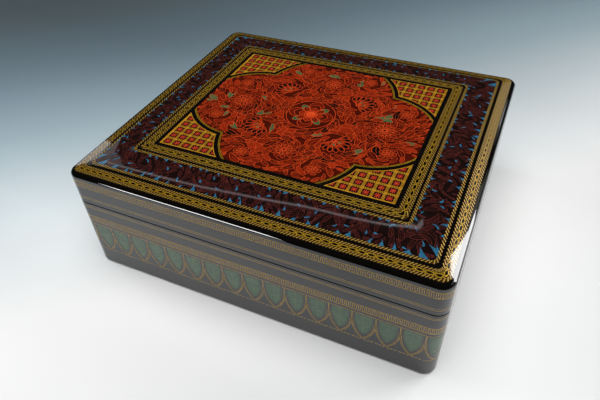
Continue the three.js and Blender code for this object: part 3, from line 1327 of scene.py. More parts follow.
@dataclass
class ScrollBand:
    """The dark band on the crown: leaves in alternating whorls, with blue in the gaps between them."""

    ring: Ring
    crown: Crown
    edge: float = 0.5
    whorl_offset: float = 2.0
    whorl_radius: float = 0.6
    wedge_pitches: Pair = (8.7, 8.0)  # along the outer and the inner edge
    wedge_rises: Pair = (4.2, 2.7)
    wedge_places: Pair = (0.15, 0.85)
    wedge_sizes: Pair = (0.45, 1.25)
    wedge_feet: Pair = (0.9, 2.0)
    wedge_lean: float = 2.6
    corner_wedges: tuple[Pair, ...] = ((0.36, 0.6), (0.64, -0.6))  # their places and leans
    corner_rise: float = 6.5
    corner_foot: float = 1.9
    crescent_pitch: float = 8.5
    crescent_radii: Pair = (2.2, 3.8)
    crescent_turns: Pair = (0.9, 1.7)
    crescent_halves: Pair = (0.4, 0.75)
    crescent_spread: float = 4.5
    blue_layer: float = 14
    steps: int = 10
    seed: int = 5

    def draw(self) -> Drawing:
        """Draws the band.

        Returns:
            The drawing in plan.
        """
        ring, blue, chance = self.ring, Drawing(), np.random.default_rng(self.seed)
        ring.course(blue, Ink.MAROON, 1, ring.outer, ring.inner)
        self.edge_gaps(blue, chance)
        self.corner_gaps(blue)
        self.crescents(blue, chance)
        drawing = blue.changed(ring.plan)
        drawing.take(Foliage(
            inside=self.inside, centres=self.whorls(), fills={Ink.PLUM: 0.55, Ink.MAROON: 0.45},
            edge=Ink.RUSSET, pen=(0.09, 0.15), length=(6.5, 11.5), width=(0.12, 0.18),
            spacing=3.9, inward=0.6, tries=44000, layer=2, seed=self.seed,
        ).draw())
        return drawing

    def inside(self, points: np.ndarray, margin: float) -> np.ndarray:
        """Tells which points lie inside the band, at least a margin from its edges."""
        inset, margin = self.crown.inset(points), self.edge + margin
        return (inset > self.ring.outer + margin) & (inset < self.ring.inner - margin)

    def whorls(self) -> list[Centre]:
        """Gives the centres of the whorls, all along the band.

        Returns:
            The centres.
        """
        ring = self.ring
        along = (np.arange(ring.cells()) + 0.5) * ring.cell
        way = np.where(np.arange(len(along)) % 2 == 0, 1, -1)
        middle = (ring.outer + ring.inner) / 2 + self.whorl_offset * way
        places = ring.plan(np.stack([along, middle], axis=1))
        return [Centre(x, y, self.whorl_radius, int(sense)) for (x, y), sense in zip(places, way)]

    def edge_gaps(self, blue: Drawing, chance: np.random.Generator) -> None:
        """Draws blue wedges along both edges.

        Args:
            blue: The drawing on the band's ring.
            chance: The source of random numbers.
        """
        ring, share = self.ring, np.linspace(0, 1, self.steps)
        whole = ring.ends()[-1]
        edges = ((ring.outer, 1), (ring.inner, -1))
        for pitch, rise, (edge, way) in zip(self.wedge_pitches, self.wedge_rises, edges):
            count = round(whole / pitch)
            for number in range(count):
                place = (number + chance.uniform(*self.wedge_places)) * whole / count
                height = rise * chance.uniform(*self.wedge_sizes)
                lean = chance.uniform(-self.wedge_lean, self.wedge_lean)
                line = np.stack([place + lean * share**1.5, edge + way * height * share], axis=1)
                half = chance.uniform(*self.wedge_feet) * (1 - share) ** 1.6
                blue.stroke(Ink.BLUE, self.blue_layer, line, np.maximum(half, TIP))

    def corner_gaps(self, blue: Drawing) -> None:
        """Draws the larger blue wedges at the corners.

        Args:
            blue: The drawing on the band's ring.
        """
        ring, share = self.ring, np.linspace(0, 1, self.steps)
        half = np.maximum(self.corner_foot * (1 - share) ** 1.2, TIP)
        for corner in range(4):
            start, end = ring.ends()[2 * corner + 1: 2 * corner + 3]
            for part, lean in self.corner_wedges:
                place = start + part * (end - start)
                line = np.stack([place + lean * share, ring.outer + self.corner_rise * share], axis=1)
                blue.stroke(Ink.BLUE, self.blue_layer, line, half)

    def crescents(self, blue: Drawing, chance: np.random.Generator) -> None:
        """Draws blue crescents between the edges.

        Args:
            blue: The drawing on the band's ring.
            chance: The source of random numbers.
        """
        ring, share = self.ring, np.linspace(0, 1, self.steps)
        whole = ring.ends()[-1]
        count = round(whole / self.crescent_pitch)
        for number in range(count):
            radius, turn = chance.uniform(*self.crescent_radii), chance.uniform(0, 4 * QUARTER)
            shift = chance.uniform(-self.crescent_spread, self.crescent_spread)
            centre = ((number + 0.5) * whole / count, (ring.outer + ring.inner) / 2 + shift)
            line = arc(centre, radius, turn, turn + chance.uniform(*self.crescent_turns), self.steps)
            half = swelling(chance.uniform(*self.crescent_halves), share, 0.7)
            blue.stroke(Ink.BLUE, self.blue_layer, line, half)


@dataclass
class FloretPanel:
    """The gold lattice with red florets that shows in the corners of the panel."""

    half_length: float = 87.3
    half_width: float = 72.3
    pitch: float = 7.7
    cell: float = 5.7
    cell_corner: float = 0.5
    ticks: int = 5
    tick_gap: float = 0.2
    tick_rise: float = 0.8
    tick_half: float = 0.2
    petals: int = 8
    petal_foot: float = 0.3
    petal_lengths: Pair = (1.9, 2.3)
    petal_half: float = 0.31
    heart: float = 0.65
    eye: float = 0.3
    first_in: Pair = (4.7, 3.9)
    corner_reach: tuple[int, int] = (7, 6)

    def draw(self) -> Drawing:
        """Draws the lattice and its florets in all four corners.

        Returns:
            The drawing in plan.
        """
        panel = Drawing()
        x, y = self.half_length, self.half_width
        panel.field(Ink.LATTICE_GOLD, 1, np.array([[-x, -y], [x, -y], [x, y], [-x, y]]))
        floret = self.floret()
        for column in range(self.corner_reach[0]):
            for row in range(self.corner_reach[1]):
                place = np.array([x, y]) - self.first_in - self.pitch * np.array([column, row])
                for signs in CORNERS:
                    panel.take(floret.moved(place * signs))
        return panel

    def floret(self) -> Drawing:
        """Draws one floret on its dark cell, with ticks on the bars beside it.

        Returns:
            The drawing, around the origin.
        """
        floret, share, side = Drawing(), np.linspace(0, 1, 7), self.cell / 2
        reach = side - self.cell_corner
        outline = np.concatenate([
            arc((sx * reach, sy * reach), self.cell_corner, start, start + QUARTER, 4)
            for sx, sy, start in ((1, -1, -QUARTER), (1, 1, 0), (-1, 1, QUARTER), (-1, -1, 2 * QUARTER))
        ])
        floret.field(Ink.MAROON, 2, outline)
        half = swelling(self.petal_half, share, 1.3, 0.6)
        for number in range(self.petals):
            petal = spoke(self.petal_foot, self.petal_lengths[number % 2], share)
            floret.stroke(Ink.ROSE, 3, turned(petal, 4 * QUARTER * number / self.petals), half)
        floret.dot(Ink.ROSE, 3, (0, 0), self.heart, 8)
        floret.dot(Ink.LATTICE_GOLD, 4, (0, 0), self.eye, 8)
        near, far = side + self.tick_gap, self.pitch - side - self.tick_gap
        for turn in (0, QUARTER):
            for number in range(self.ticks):
                low = (2 * number / self.ticks - 1) * side
                tick = np.array([[near, low], [far, low + self.tick_rise]])
                floret.stroke(Ink.BRONZE, 3, turned(tick, turn), self.tick_half)
        return floret


@dataclass(frozen=True)
class Palmette:
    """A flower seen from the side: a fan of petals with dark tips. Its sizes are shares of the radius."""

    radius: float
    foot: float = 0.45
    petals: int = 9
    fan: float = 0.36  # radians from petal to petal
    reach: float = 1.42
    droop: float = 0.05
    petal_half: float = 0.2
    tip_places: tuple[float, ...] = (0.58, 0.76, 0.92)
    tip_halves: tuple[float, ...] = (0.028, 0.14, 0.084)
    sepals: int = 5
    sepal_fan: float = 0.5
    sepal_reach: float = 0.62
    sepal_half: float = 0.13
    heart: float = 0.15
    eye: float = 0.08
    pens: Pair = (0.17, 0.15)

    def draw(self) -> Drawing:
        """Draws the flower.

        Returns:
            The drawing, around the origin, with the fan towards +X.
        """
        flower, share = Drawing(), np.linspace(0, 1, 11)
        foot = (-self.foot * self.radius, 0)
        for number in range(self.petals):
            away = number - self.petals // 2
            reach = self.radius * (self.reach - self.droop * abs(away) ** 1.3)
            line = turned(spoke(0, reach, share), away * self.fan, foot)
            half = swelling(self.petal_half * self.radius, share, 1.7, 0.7)
            layer = 19 - 0.7 * abs(away)
            fill = Ink.RED if number % 2 else Ink.SCARLET
            flower.leaf(fill, Ink.VERMILION, layer, line, half, self.pens[0], (-0.3, 0.3))
            tip = turned(spoke(0, reach, np.array(self.tip_places)), away * self.fan, foot)
            flower.stroke(Ink.BLACK, layer + 0.6, tip, self.radius * np.array(self.tip_halves))
        for number in range(self.sepals):
            turn = (number - self.sepals // 2) * self.sepal_fan
            line = turned(spoke(0, self.sepal_reach * self.radius, share), turn, foot)
            half = swelling(self.sepal_half * self.radius, share, 1.3)
            fill = Ink.GREEN if number % 2 else Ink.DEEP_RED
            flower.leaf(fill, Ink.VERMILION, 20, line, half, self.pens[1])
        flower.dot(Ink.VERMILION, 21.5, foot, self.heart * self.radius, 14)
        flower.dot(Ink.BLACK, 22, foot, self.eye * self.radius, 10)
        return flower


@dataclass(frozen=True)
class Blossom:
    """A round blossom of two rings of petals. Its sizes are shares of the radius."""

    radius: float
    petals: int
    outer: Pair = (0.5, 1.0)
    inner: Pair = (0.22, 0.62)
    fullness: float = 0.8
    dot_place: float = 0.86
    dot: float = 0.05
    heart: float = 0.2
    eye: float = 0.11
    pen: float = 0.16

    def draw(self) -> Drawing:
        """Draws the blossom.

        Returns:
            The drawing, around the origin.
        """
        flower, share, radius = Drawing(), np.linspace(0, 1, 11), self.radius
        flower.dot(Ink.DEEP_RED, 16, (0, 0), radius, 40)
        rings = ((17, self.outer, 0, Ink.RED), (18, self.inner, 0.5, Ink.DEEP_RED))
        for layer, (low, high), shift, ink in rings:
            wide = self.fullness * math.pi * radius * (low + high) / 2 / self.petals
            half = swelling(wide, share, 1.4, 0.6)
            line = spoke(radius * low, radius * (high - low), share)
            for number in range(self.petals):
                turn = 2 * math.pi * (number + shift) / self.petals
                flower.leaf(ink, Ink.VERMILION, layer, turned(line, turn), half, self.pen)
                x, y = turned(np.array([[self.dot_place * high * radius, 0]]), turn)[0]
                flower.dot(Ink.BLACK, layer + 0.8, (x, y), self.dot * radius, 8)
        flower.dot(Ink.VERMILION, 19, (0, 0), self.heart * radius, 16)
        flower.dot(Ink.DEEP_RED, 20, (0, 0), self.eye * radius, 12)
        return flower


@dataclass(frozen=True)
class MiddleFlower:
    """The flower in the middle: four broad petals, and four narrow ones between them.

    Each petal holds smaller ones of other fills. The sizes are shares of the radius.
    """

    radius: float
    rim: float = 0.98
    rim_pen: float = 0.22
    start: float = 0.16
    broad: Pair = (0.94, 0.3)  # reach and half width
    narrow: Pair = (0.8, 0.15)
    broad_fills: tuple[Ink, ...] = (Ink.RED, Ink.DEEP_RED, Ink.SCARLET, Ink.MAROON)
    narrow_fills: tuple[Ink, ...] = (Ink.GREEN, Ink.RED)
    shrink: float = 0.24  # from a petal to the one inside it
    hearts: tuple[tuple[Ink, float, int], ...] = (  # ink, radius and points
        (Ink.VERMILION, 0.27, 28), (Ink.RED, 0.23, 28), (Ink.VERMILION, 0.2, 24),
    )
    pen: float = 0.17

    def draw(self) -> Drawing:
        """Draws the flower.

        Returns:
            The drawing, around the origin.
        """
        flower, share, radius = Drawing(), np.linspace(0, 1, 17), self.radius
        flower.dot(Ink.DEEP_RED, 16, (0, 0), self.rim * radius, 48)
        flower.stroke(Ink.VERMILION, 17, arc((0, 0), self.rim * radius, 0, 4 * QUARTER, 65), self.rim_pen)
        kinds = ((*self.broad, 19, self.broad_fills), (*self.narrow, 18, self.narrow_fills))
        for number in range(8):
            reach, wide, layer, inks = kinds[number % 2]
            for nest, ink in enumerate(inks):
                size = 1 - self.shrink * nest
                line = spoke(radius * self.start, radius * (reach * size - self.start), share)
                line = turned(line, number * QUARTER / 2)
                half = swelling(radius * wide * size, share, 1.3, 0.7)
                flower.leaf(ink, Ink.VERMILION, layer + nest, line, half, self.pen)
        for layer, (ink, size, count) in enumerate(self.hearts, 24):
            flower.dot(ink, layer, (0, 0), size * radius, count)
        return flower


@dataclass
class Medallion:
    """The red panel in its four-lobed frame: a generic leafy scroll with blossoms."""

    panel: FloretPanel
    side_centre: float = 49.1
    side_radius: float = 47.2
    back_centre: float = 32.6
    back_radius: float = 54.9
    frame_inside: float = 2.9
    ground_edge: float = -2.7
    black_band: Pair = (-2.9, 1.5)  # offsets from the frame's middle line, as the next ones
    lattice_rule: Pair = (1.4, 2.1)
    rope: Pair = (-2.6, -1.85)
    rope_rule: float = 0.25
    rope_pen: float = 0.08
    rope_strands: int = 32
    seed: int = 11

    def cusp(self, offset: float) -> Pair:
        """Finds where the two lobes of a corner meet.

        Args:
            offset: How much both of their radii are grown.

        Returns:
            The place's x and y.
        """
        first, second = self.side_radius + offset, self.back_radius + offset
        apart = math.hypot(self.side_centre, self.back_centre)
        along = (first**2 - second**2 + apart**2) / (2 * apart)
        across = math.sqrt(first**2 - along**2)
        ux, uy = -self.side_centre / apart, self.back_centre / apart
        return self.side_centre + along * ux + across * uy, along * uy - across * ux

    def lobes(self, offset: float, count: int = 24) -> np.ndarray:
        """Gives the frame's line in the corner of +X and +Y, from the side's end to the back's.

        Args:
            offset: How far outside the frame's middle line.
            count: Points on each of its two arcs.

        Returns:
            The line's points.
        """
        x, y = self.cusp(offset)
        first, second = self.side_radius + offset, self.back_radius + offset
        side_start = math.acos((self.panel.half_length - self.side_centre) / first)
        back_end = math.asin((self.panel.half_width - self.back_centre) / second)
        side = arc((self.side_centre, 0), first, side_start, math.atan2(y, x - self.side_centre), count)
        back = arc((0, self.back_centre), second, math.atan2(y - self.back_centre, x), back_end, count)
        return np.concatenate([side, back[1:]])

    def frame_lines(self) -> Drawing:
        """Draws the frame: a fine gold line, a black band, and a gold rope on the inside.

        Returns:
            The drawing in plan.
        """
        corner, (low, high) = Drawing(), self.rope
        for ink, layer, start, end in (
            (Ink.LATTICE_GOLD, 6, *self.lattice_rule),
            (Ink.BLACK, 6, *self.black_band),
            (Ink.GOLD, 7, high, high + self.rope_rule),
            (Ink.GOLD, 7, low - self.rope_rule, low),
        ):
            corner.between(ink, layer, self.lobes(start), self.lobes(end))
        inner, outer = self.lobes(low, self.rope_strands), self.lobes(high, self.rope_strands)
        for strand in zip(inner, outer[1:]):
            corner.stroke(Ink.GOLD, 7, np.array(strand), self.rope_pen)
        frame_drawing = Drawing()
        for signs in CORNERS:
            flip = np.array(signs)
            frame_drawing.take(corner.changed(lambda points: points * flip, mirrored=flip.prod() < 0))
        return frame_drawing

    def ground(self) -> np.ndarray:
        """Gives the outline of the red ground.

        Returns:
            Its points, counter-clockwise.
        """
        corner = self.lobes(self.ground_edge)
        top = np.concatenate([corner, corner[::-1] * np.array([-1, 1])])
        return np.concatenate([top, -top])

    def inside(self, points: np.ndarray, margin: float) -> np.ndarray:
        """Tells which points lie inside the frame.

        Args:
            points: The points.
            margin: The least distance to the frame.

        Returns:
            True for each point inside.
        """
        x, y = np.abs(points[:, 0]), np.abs(points[:, 1])
        in_side = np.hypot(x - self.side_centre, y) < self.side_radius - self.frame_inside - margin
        in_back = np.hypot(x, y - self.back_centre) < self.back_radius - self.frame_inside - margin
        in_panel = (x < self.panel.half_length - margin) & (y < self.panel.half_width - margin)
        return (in_side | in_back) & in_panel

    def draw(self) -> Drawing:
        """Draws the frame and everything inside it.

        Returns:
            The drawing in plan.
        """
        drawing = self.frame_lines()
        drawing.field(Ink.DEEP_RED, 5, self.ground())
        centres = self.centres()
        for centre in centres:
            drawing.take(self.flower(centre).moved(np.array([centre.x, centre.y])))
        drawing.take(Foliage(
            inside=self.inside, centres=centres,
            fills={Ink.RED: 0.43, Ink.SCARLET: 0.2, Ink.DEEP_RED: 0.26, Ink.GREEN: 0.05, Ink.BLACK: 0.06},
            edge=Ink.VERMILION, pen=(0.12, 0.18), length=(8.0, 14.0), width=(0.17, 0.25),
            spacing=4.4, inward=0.5, tries=20000, layer=7, seed=self.seed,
        ).draw())
        return drawing

    def centres(self) -> list[Centre]:
        """Lists the flowers that the leaves turn around.

        Returns:
            The centres.
        """
        flowers = [Centre(0, 0, 19, 1, Flower.MIDDLE)]
        for sx in (-1, 1):
            flowers += [
                Centre(sx * 58, 0, 11.5, -sx, Flower.BLOSSOM, 12),
                Centre(0, sx * 47, 9.5, -1, Flower.BLOSSOM, 10),
            ]
            for sy in (-1, 1):
                flowers += [
                    Centre(sx * 32, sy * 28, 10.5, sx * sy, Flower.PALMETTE),
                    Centre(sx * 68, sy * 25, 6, -sx * sy, Flower.BLOSSOM, 6),
                    Centre(sx * 27, sy * 60, 6, -sx * sy, Flower.BLOSSOM, 6),
                ]
        return flowers

    def flower(self, centre: Centre) -> Drawing:
        """Draws the flower of a centre.

        Args:
            centre: The centre.

        Returns:
            The drawing, around the origin. A palmette opens away from the panel's middle.
        """
        if centre.flower is Flower.MIDDLE:
            return MiddleFlower(centre.radius).draw()
        if centre.flower is Flower.BLOSSOM:
            return Blossom(centre.radius, centre.petals).draw()
        out = math.atan2(centre.y, centre.x)
        return Palmette(centre.radius).draw().changed(lambda points: turned(points, out))


@dataclass(frozen=True)
class Fret:
    """A gold meander between two gold lines, on the sides."""

    low: float
    high: float
    rule: float = 0.55
    gap: float = 0.4
    line: float = 0.24
    turns: int = 6  # to one cell of the wall

    def draw(self, wall: Wall) -> Drawing:
        """Draws the band.

        Args:
            wall: The sides.

        Returns:
            The drawing on the sides.
        """
        drawing, key = Drawing(), Drawing()
        wall.course(drawing, Ink.SIDE_GOLD, 1, self.low, self.low + self.rule)
        wall.course(drawing, Ink.SIDE_GOLD, 1, self.high - self.rule, self.high)
        step = wall.cell / self.turns
        low, high = self.low + self.rule + self.gap, self.high - self.rule - self.gap
        corners = [(0, low), (0, high), (0.5, high), (0.5, low), (1, low)]
        for (x0, z0), (x1, z1) in zip(corners, corners[1:]):
            ends = np.array([[x0 * step, z0], [x1 * step, z1]])
            reach = (ends[1] - ends[0]) / np.linalg.norm(ends[1] - ends[0]) * self.line
            key.stroke(Ink.SIDE_GOLD, 1, np.array([ends[0] - reach, ends[1] + reach]), self.line)
        drawing.take(key.repeated(step, wall.cells() * self.turns))
        return drawing


@dataclass(frozen=True)
class Belt:
    """What the sides of the box and its lid share: a fret, and fine lines at the seam."""

    wall: Wall
    fret: Fret
    lines: tuple[Pair, ...]

    def draw(self) -> Drawing:
        """Draws the belt.

        Returns:
            The drawing on the sides.
        """
        drawing = self.fret.draw(self.wall)
        for low, high in self.lines:
            self.wall.course(drawing, Ink.SIDE_GOLD, 1, low, high)
        return drawing


@dataclass
class Frieze:
    """The frieze of hanging green petals around the box."""

    wall: Wall
    top: float = 42.3
    split: float = 35.0  # where the outlines part from the stems
    tip: float = 17.4
    pair: float = 0.5  # half the gap between the outline's two lines
    line_pen: float = 0.16
    tick_pen: float = 0.1
    stem_pen: float = 0.17
    stem_gap: float = 0.25
    green_tip: float = 22.0
    green_half: float = 5.3
    green_gap: float = 0.4
    rim_gap: float = 0.5
    rim_pen: float = 0.13
    veins: int = 5
    first_vein: float = 1.5
    vein_pitch: float = 3.2
    vein_reach: float = 0.75
    vein_drop: float = 2.2
    vein_pens: Pair = (0.16, 0.08)
    rib_pens: Pair = (0.2, 0.1)
    rib_end: float = 1.5
    curls: tuple[tuple[float, float, float, float], ...] = (  # place, length, height and bow
        (0.9, 1.7, -0.6, -0.8), (3.3, 1.5, -1.3, 0.7), (5.4, 1.8, -0.2, -0.9),
    )
    curl_rise: float = 0.6
    curl_half: float = 0.38
    steps: int = 26

    def draw(self) -> Drawing:
        """Draws the frieze.

        Returns:
            The drawing on the sides.
        """
        petal, middle = Drawing(), self.wall.cell / 2
        self.outline(petal, middle)
        self.heart(petal, middle)
        self.flourish(petal, middle)
        return petal.repeated(self.wall.cell, self.wall.cells())

    def outline(self, petal: Drawing, middle: float) -> None:
        """Draws the petal's outline, a pair of fine lines with ticks between them.

        Args:
            petal: The drawing of one cell.
            middle: The middle of the cell.
        """
        drop = np.linspace(0, 1, self.steps) ** 0.7
        height = self.split + (self.tip - self.split) * drop
        for way in (-1, 1):
            line = np.stack([middle + way * (middle - self.pair) * (1 - drop**2.4), height], axis=1)
            side = left_of(line) * self.pair
            left, right = line + side, line - side
            petal.stroke(Ink.SIDE_GOLD, 2, left, self.line_pen)
            petal.stroke(Ink.SIDE_GOLD, 2, right, self.line_pen)
            for tick in zip(right[1:], left[1:]):
                petal.stroke(Ink.SIDE_GOLD, 2, np.array(tick), self.tick_pen)
            x = middle + way * (middle - self.stem_gap)
            petal.stroke(Ink.SIDE_GOLD, 2, np.array([[x, self.top], [x, self.split]]), self.stem_pen)

    def heart(self, petal: Drawing, middle: float) -> None:
        """Draws the petal's green heart, with fine veins and a fine line around it.

        Args:
            petal: The drawing of one cell.
            middle: The middle of the cell.
        """
        drop, share, head = np.linspace(0, 1, 18) ** 0.8, np.linspace(0, 1, 5), self.top - self.green_gap
        height = head + (self.green_tip - head) * drop
        half = np.maximum(self.green_half * (1 - drop**3.3), TIP)
        petal.stroke(Ink.PETAL_GREEN, 2, np.stack([np.full(len(drop), middle), height], axis=1), half)
        for way in (-1, 1):
            rim = np.stack([middle + way * (half + self.rim_gap), height - self.rim_gap * drop], axis=1)
            petal.stroke(Ink.RIB_GREEN, 2, rim, self.rim_pen)
            for number in range(self.veins):
                start = head - self.first_vein - self.vein_pitch * number
                fall = (self.top - start) / (self.top - self.green_tip)
                reach = self.vein_reach * self.green_half * (1 - fall**3)
                vein = np.stack([middle + way * reach * share, start - self.vein_drop * share**1.6], axis=1)
                petal.stroke(Ink.RIB_GREEN, 3, vein, np.linspace(*self.vein_pens, len(share)))
        rib = np.array([[middle, head - self.green_gap], [middle, self.green_tip + self.rib_end]])
        petal.stroke(Ink.RIB_GREEN, 3, rib, np.array(self.rib_pens))

    def flourish(self, petal: Drawing, middle: float) -> None:
        """Draws the small curls beside the petal's tip.

        Args:
            petal: The drawing of one cell.
            middle: The middle of the cell.
        """
        share = np.linspace(0, 1, 9)
        pen = swelling(self.curl_half, share, 0.8)
        for way in (-1, 1):
            for place, length, height, bow in self.curls:
                line = np.stack([
                    middle + way * (place + length * share),
                    self.tip + height + bow * np.sin(math.pi * share) + self.curl_rise * share,
                ], axis=1)
                petal.stroke(Ink.SIDE_GOLD, 2, line, pen)


@dataclass
class LidOrnament:
    """The ornament on the crown of the lid, from the rim to the middle."""

    crown: Crown
    outer_border: Ring = Ring.of(3.55, 10.25, radii=(5.4, 2.5), pitches=(5.56, 6.3), corner_cells=2)
    outer_dashes: Pair = (2.11, 2.95)
    outer_rope: Ring = Ring.of(12.5, 14.5, radii=(4.0, 3.0), pitches=(6.46, 8.49), corner_cells=1)
    band: Ring = Ring.of(14.4, 33.7, radii=(3.0, 2.4), pitches=(27.0, 27.0), corner_cells=1)
    inner_rope: Ring = Ring.of(33.7, 35.75, radii=(2.4, 1.5), pitches=(7.17, 7.23), corner_cells=1)
    inner_border: Ring = Ring.of(37.45, 44.5, radii=(2.2, 1.0), pitches=(6.58, 6.6), corner_cells=1)
    inner_dashes: Pair = (2.44, 2.32)

    def lay(self) -> None:
        """Lays every part of it on the crown."""
        panel = FloretPanel()
        parts = {
            "outer_border": ChainBorder(self.outer_border, self.outer_dashes),
            "inner_border": ChainBorder(self.inner_border, self.inner_dashes),
            "outer_rope": Cord(self.outer_rope),
            "inner_rope": Cord(self.inner_rope),
            "scroll_band": ScrollBand(self.band, self.crown),
            "floret_panel": panel,
            "medallion": Medallion(panel),
        }
        for name, part in parts.items():
            part.draw().lay(name, self.crown, Body.LID)


@dataclass
class SideOrnament:
    """The ornament around the sides. Its bands are given by their lower and higher edges."""

    wall: Wall = Wall(pitches=(15.75, 15.75), corner_cells=1, margin=CORNER_RADIUS)
    lid_fret: Fret = Fret(SEAM + 15.1, SEAM + 20.7)
    lid_lines: tuple[Pair, ...] = ((SEAM + 4.3, SEAM + 4.7), (SEAM + 5.7, SEAM + 6.1))
    box_fret: Fret = Fret(45.4, 51.2)
    box_lines: tuple[Pair, ...] = (
        (SEAM - 4.6, SEAM - 4.2), (SEAM - 3.3, SEAM - 2.9), (42.6, 43.1),
    )

    def lay(self) -> None:
        """Lays it around the lid and the box."""
        Belt(self.wall, self.lid_fret, self.lid_lines).draw().lay("lid_belt", self.wall, Body.LID)
        Belt(self.wall, self.box_fret, self.box_lines).draw().lay("box_belt", self.wall, Body.BOX)
        Frieze(self.wall).draw().lay("frieze", self.wall, Body.BOX)


@dataclass
class Camera:
    """The photograph's viewpoint, in metres and degrees."""

    place: Place = (0.1389, -0.3098, 0.3165)
    yaw: float = -26.031
    pitch: float = 42.201
    roll: float = -2.659
    focal_pixels: float = 529.25
    image_width: int = 600
    sensor_width: float = 36.0

    def build(self) -> None:
        """Makes the camera and sets it as the scene's."""
        yaw, pitch, roll = (math.radians(angle) for angle in (self.yaw, self.pitch, self.roll))
        forward = Vector((
            math.sin(yaw) * math.cos(pitch), math.cos(yaw) * math.cos(pitch), -math.sin(pitch),
        ))
        right = Vector((math.cos(yaw), -math.sin(yaw), 0))
        up = right.cross(forward)
        tilted_right = math.cos(roll) * right + math.sin(roll) * up
        tilted_up = -math.sin(roll) * right + math.cos(roll) * up
        data = bpy.data.cameras.new("camera")
        data.sensor_width = self.sensor_width
        data.lens = self.focal_pixels / self.image_width * self.sensor_width
        camera = bpy.data.objects.new("camera", data)
        rows = Matrix((tilted_right, tilted_up, -forward)).transposed().to_4x4()
        camera.matrix_world = Matrix.Translation(self.place) @ rows
        bpy.context.scene.collection.objects.link(camera)
        bpy.context.scene.camera = camera


@dataclass(frozen=True)
class Fade:
    """A change of tone along one direction of the floor, given by its stops in millimetres. It paints light
    and shade into the paper's colour.
    """

    along: Pair
    stops: tuple[tuple[float, Colour], ...]

    def colour(self, recipe: Recipe) -> Socket:
        """Adds the fade's nodes to a recipe.

        Args:
            recipe: The recipe of the floor's material.

        Returns:
            The socket that gives the colour.
        """
        nodes, links = recipe.tree.nodes, recipe.tree.links
        start, end = self.stops[0][0], self.stops[-1][0]
        along = nodes.new("ShaderNodeVectorMath")
        along.operation = "DOT_PRODUCT"
        along.inputs[1].default_value = (*self.along, 0)
        links.new(recipe.place, along.inputs[0])
        share = nodes.new("ShaderNodeMapRange")
        share.inputs["From Min"].default_value = start * MM
        share.inputs["From Max"].default_value = end * MM
        links.new(along.outputs["Value"], share.inputs["Value"])
        ramp = nodes.new("ShaderNodeValToRGB")
        elements = ramp.color_ramp.elements
        while len(elements) < len(self.stops):
            elements.new(1)
        for element, (place, tint) in zip(elements, self.stops):
            element.position = (place - start) / (end - start)
            element.color = (*tint, 1)
        links.new(share.outputs["Result"], ramp.inputs["Fac"])
        return ramp.outputs["Color"]


def grey(share: float) -> Colour:
    """Gives a grey of a share of white."""
    return share, share, share


@dataclass
class Sweep:
    """The paper that the box stands on, with the studio's light and shade painted into its colour: white
    around it, with painted shade fading to a cool grey towards the back left.
    """

    roughness: float = 0.9
    gloss: float = 0.1
    # Painted light along the depth: painted shade darkens the paper towards the back, and a painted
    # brightening that peaks at -120, the box's front edge, offsets the box's shadow there.
    depth: Fade = Fade((0.105, 0.995), (
        (-230, grey(0.79)), (-170, grey(0.81)), (-120, grey(0.92)), (-76, grey(0.9)), (-35, grey(0.855)),
        (11, grey(0.815)), (62, grey(0.75)), (119, grey(0.68)), (183, grey(0.61)), (268, grey(0.6)),
        (347, grey(0.63)), (447, grey(0.66)),
    ))
    # Painted shade across the paper: brightest beside the box, darkening to a cool blue-grey towards the back
    # left.
    side: Fade = Fade((-0.682, 0.731), (
        (-230, (0.77, 0.775, 0.785)), (-165, (0.842, 0.85, 0.858)), (-112, (0.924, 0.93, 0.934)),
        (-63, (0.98, 0.985, 0.988)), (-38, (0.99, 1.0, 1.0)), (-13, (0.958, 0.983, 0.992)),
        (12, (0.88, 0.922, 0.942)), (37, (0.8, 0.846, 0.868)), (65, (0.702, 0.762, 0.786)),
        (95, (0.597, 0.664, 0.692)), (130, (0.497, 0.567, 0.604)), (171, (0.387, 0.471, 0.511)),
        (210, (0.305, 0.391, 0.438)), (250, (0.256, 0.338, 0.386)), (290, (0.213, 0.284, 0.331)),
        (330, (0.172, 0.233, 0.276)), (374, (0.139, 0.192, 0.23)), (428, (0.115, 0.161, 0.191)),
        (502, (0.097, 0.128, 0.147)), (580, (0.085, 0.11, 0.125)),
    ))

    def material(self) -> bpy.types.Material:
        """Builds the material.

        Returns:
            The finished material.
        """
        recipe = Recipe("paper")
        # The two fades of painted light and shade multiply into the paper's colour.
        mix = recipe.tree.nodes.new("ShaderNodeVectorMath")
        mix.operation = "MULTIPLY"
        for number, fade in enumerate((self.depth, self.side)):
            recipe.tree.links.new(fade.colour(recipe), mix.inputs[number])
        recipe.tree.links.new(mix.outputs[0], recipe.shader.inputs["Base Color"])
        recipe.shader.inputs["Roughness"].default_value = self.roughness
        recipe.shader.inputs["Specular IOR Level"].default_value = self.gloss
        return recipe.material


@dataclass(frozen=True)
class Lamp:
    """A large soft lamp that glossy surfaces don't mirror. It shines at the middle of the box."""

    name: str
    place: Place
    size: float
    power: float

    def build(self) -> None:
        """Makes the lamp."""
        data = bpy.data.lights.new(self.name, "AREA")
        data.energy = self.power
        data.size = self.size
        lamp = bpy.data.objects.new(self.name, data)
        aim = Vector(self.place).to_track_quat("Z", "Y").to_matrix().to_4x4()
        lamp.matrix_world = Matrix.Translation(self.place) @ aim
        lamp.visible_glossy = False
        bpy.context.scene.collection.objects.link(lamp)


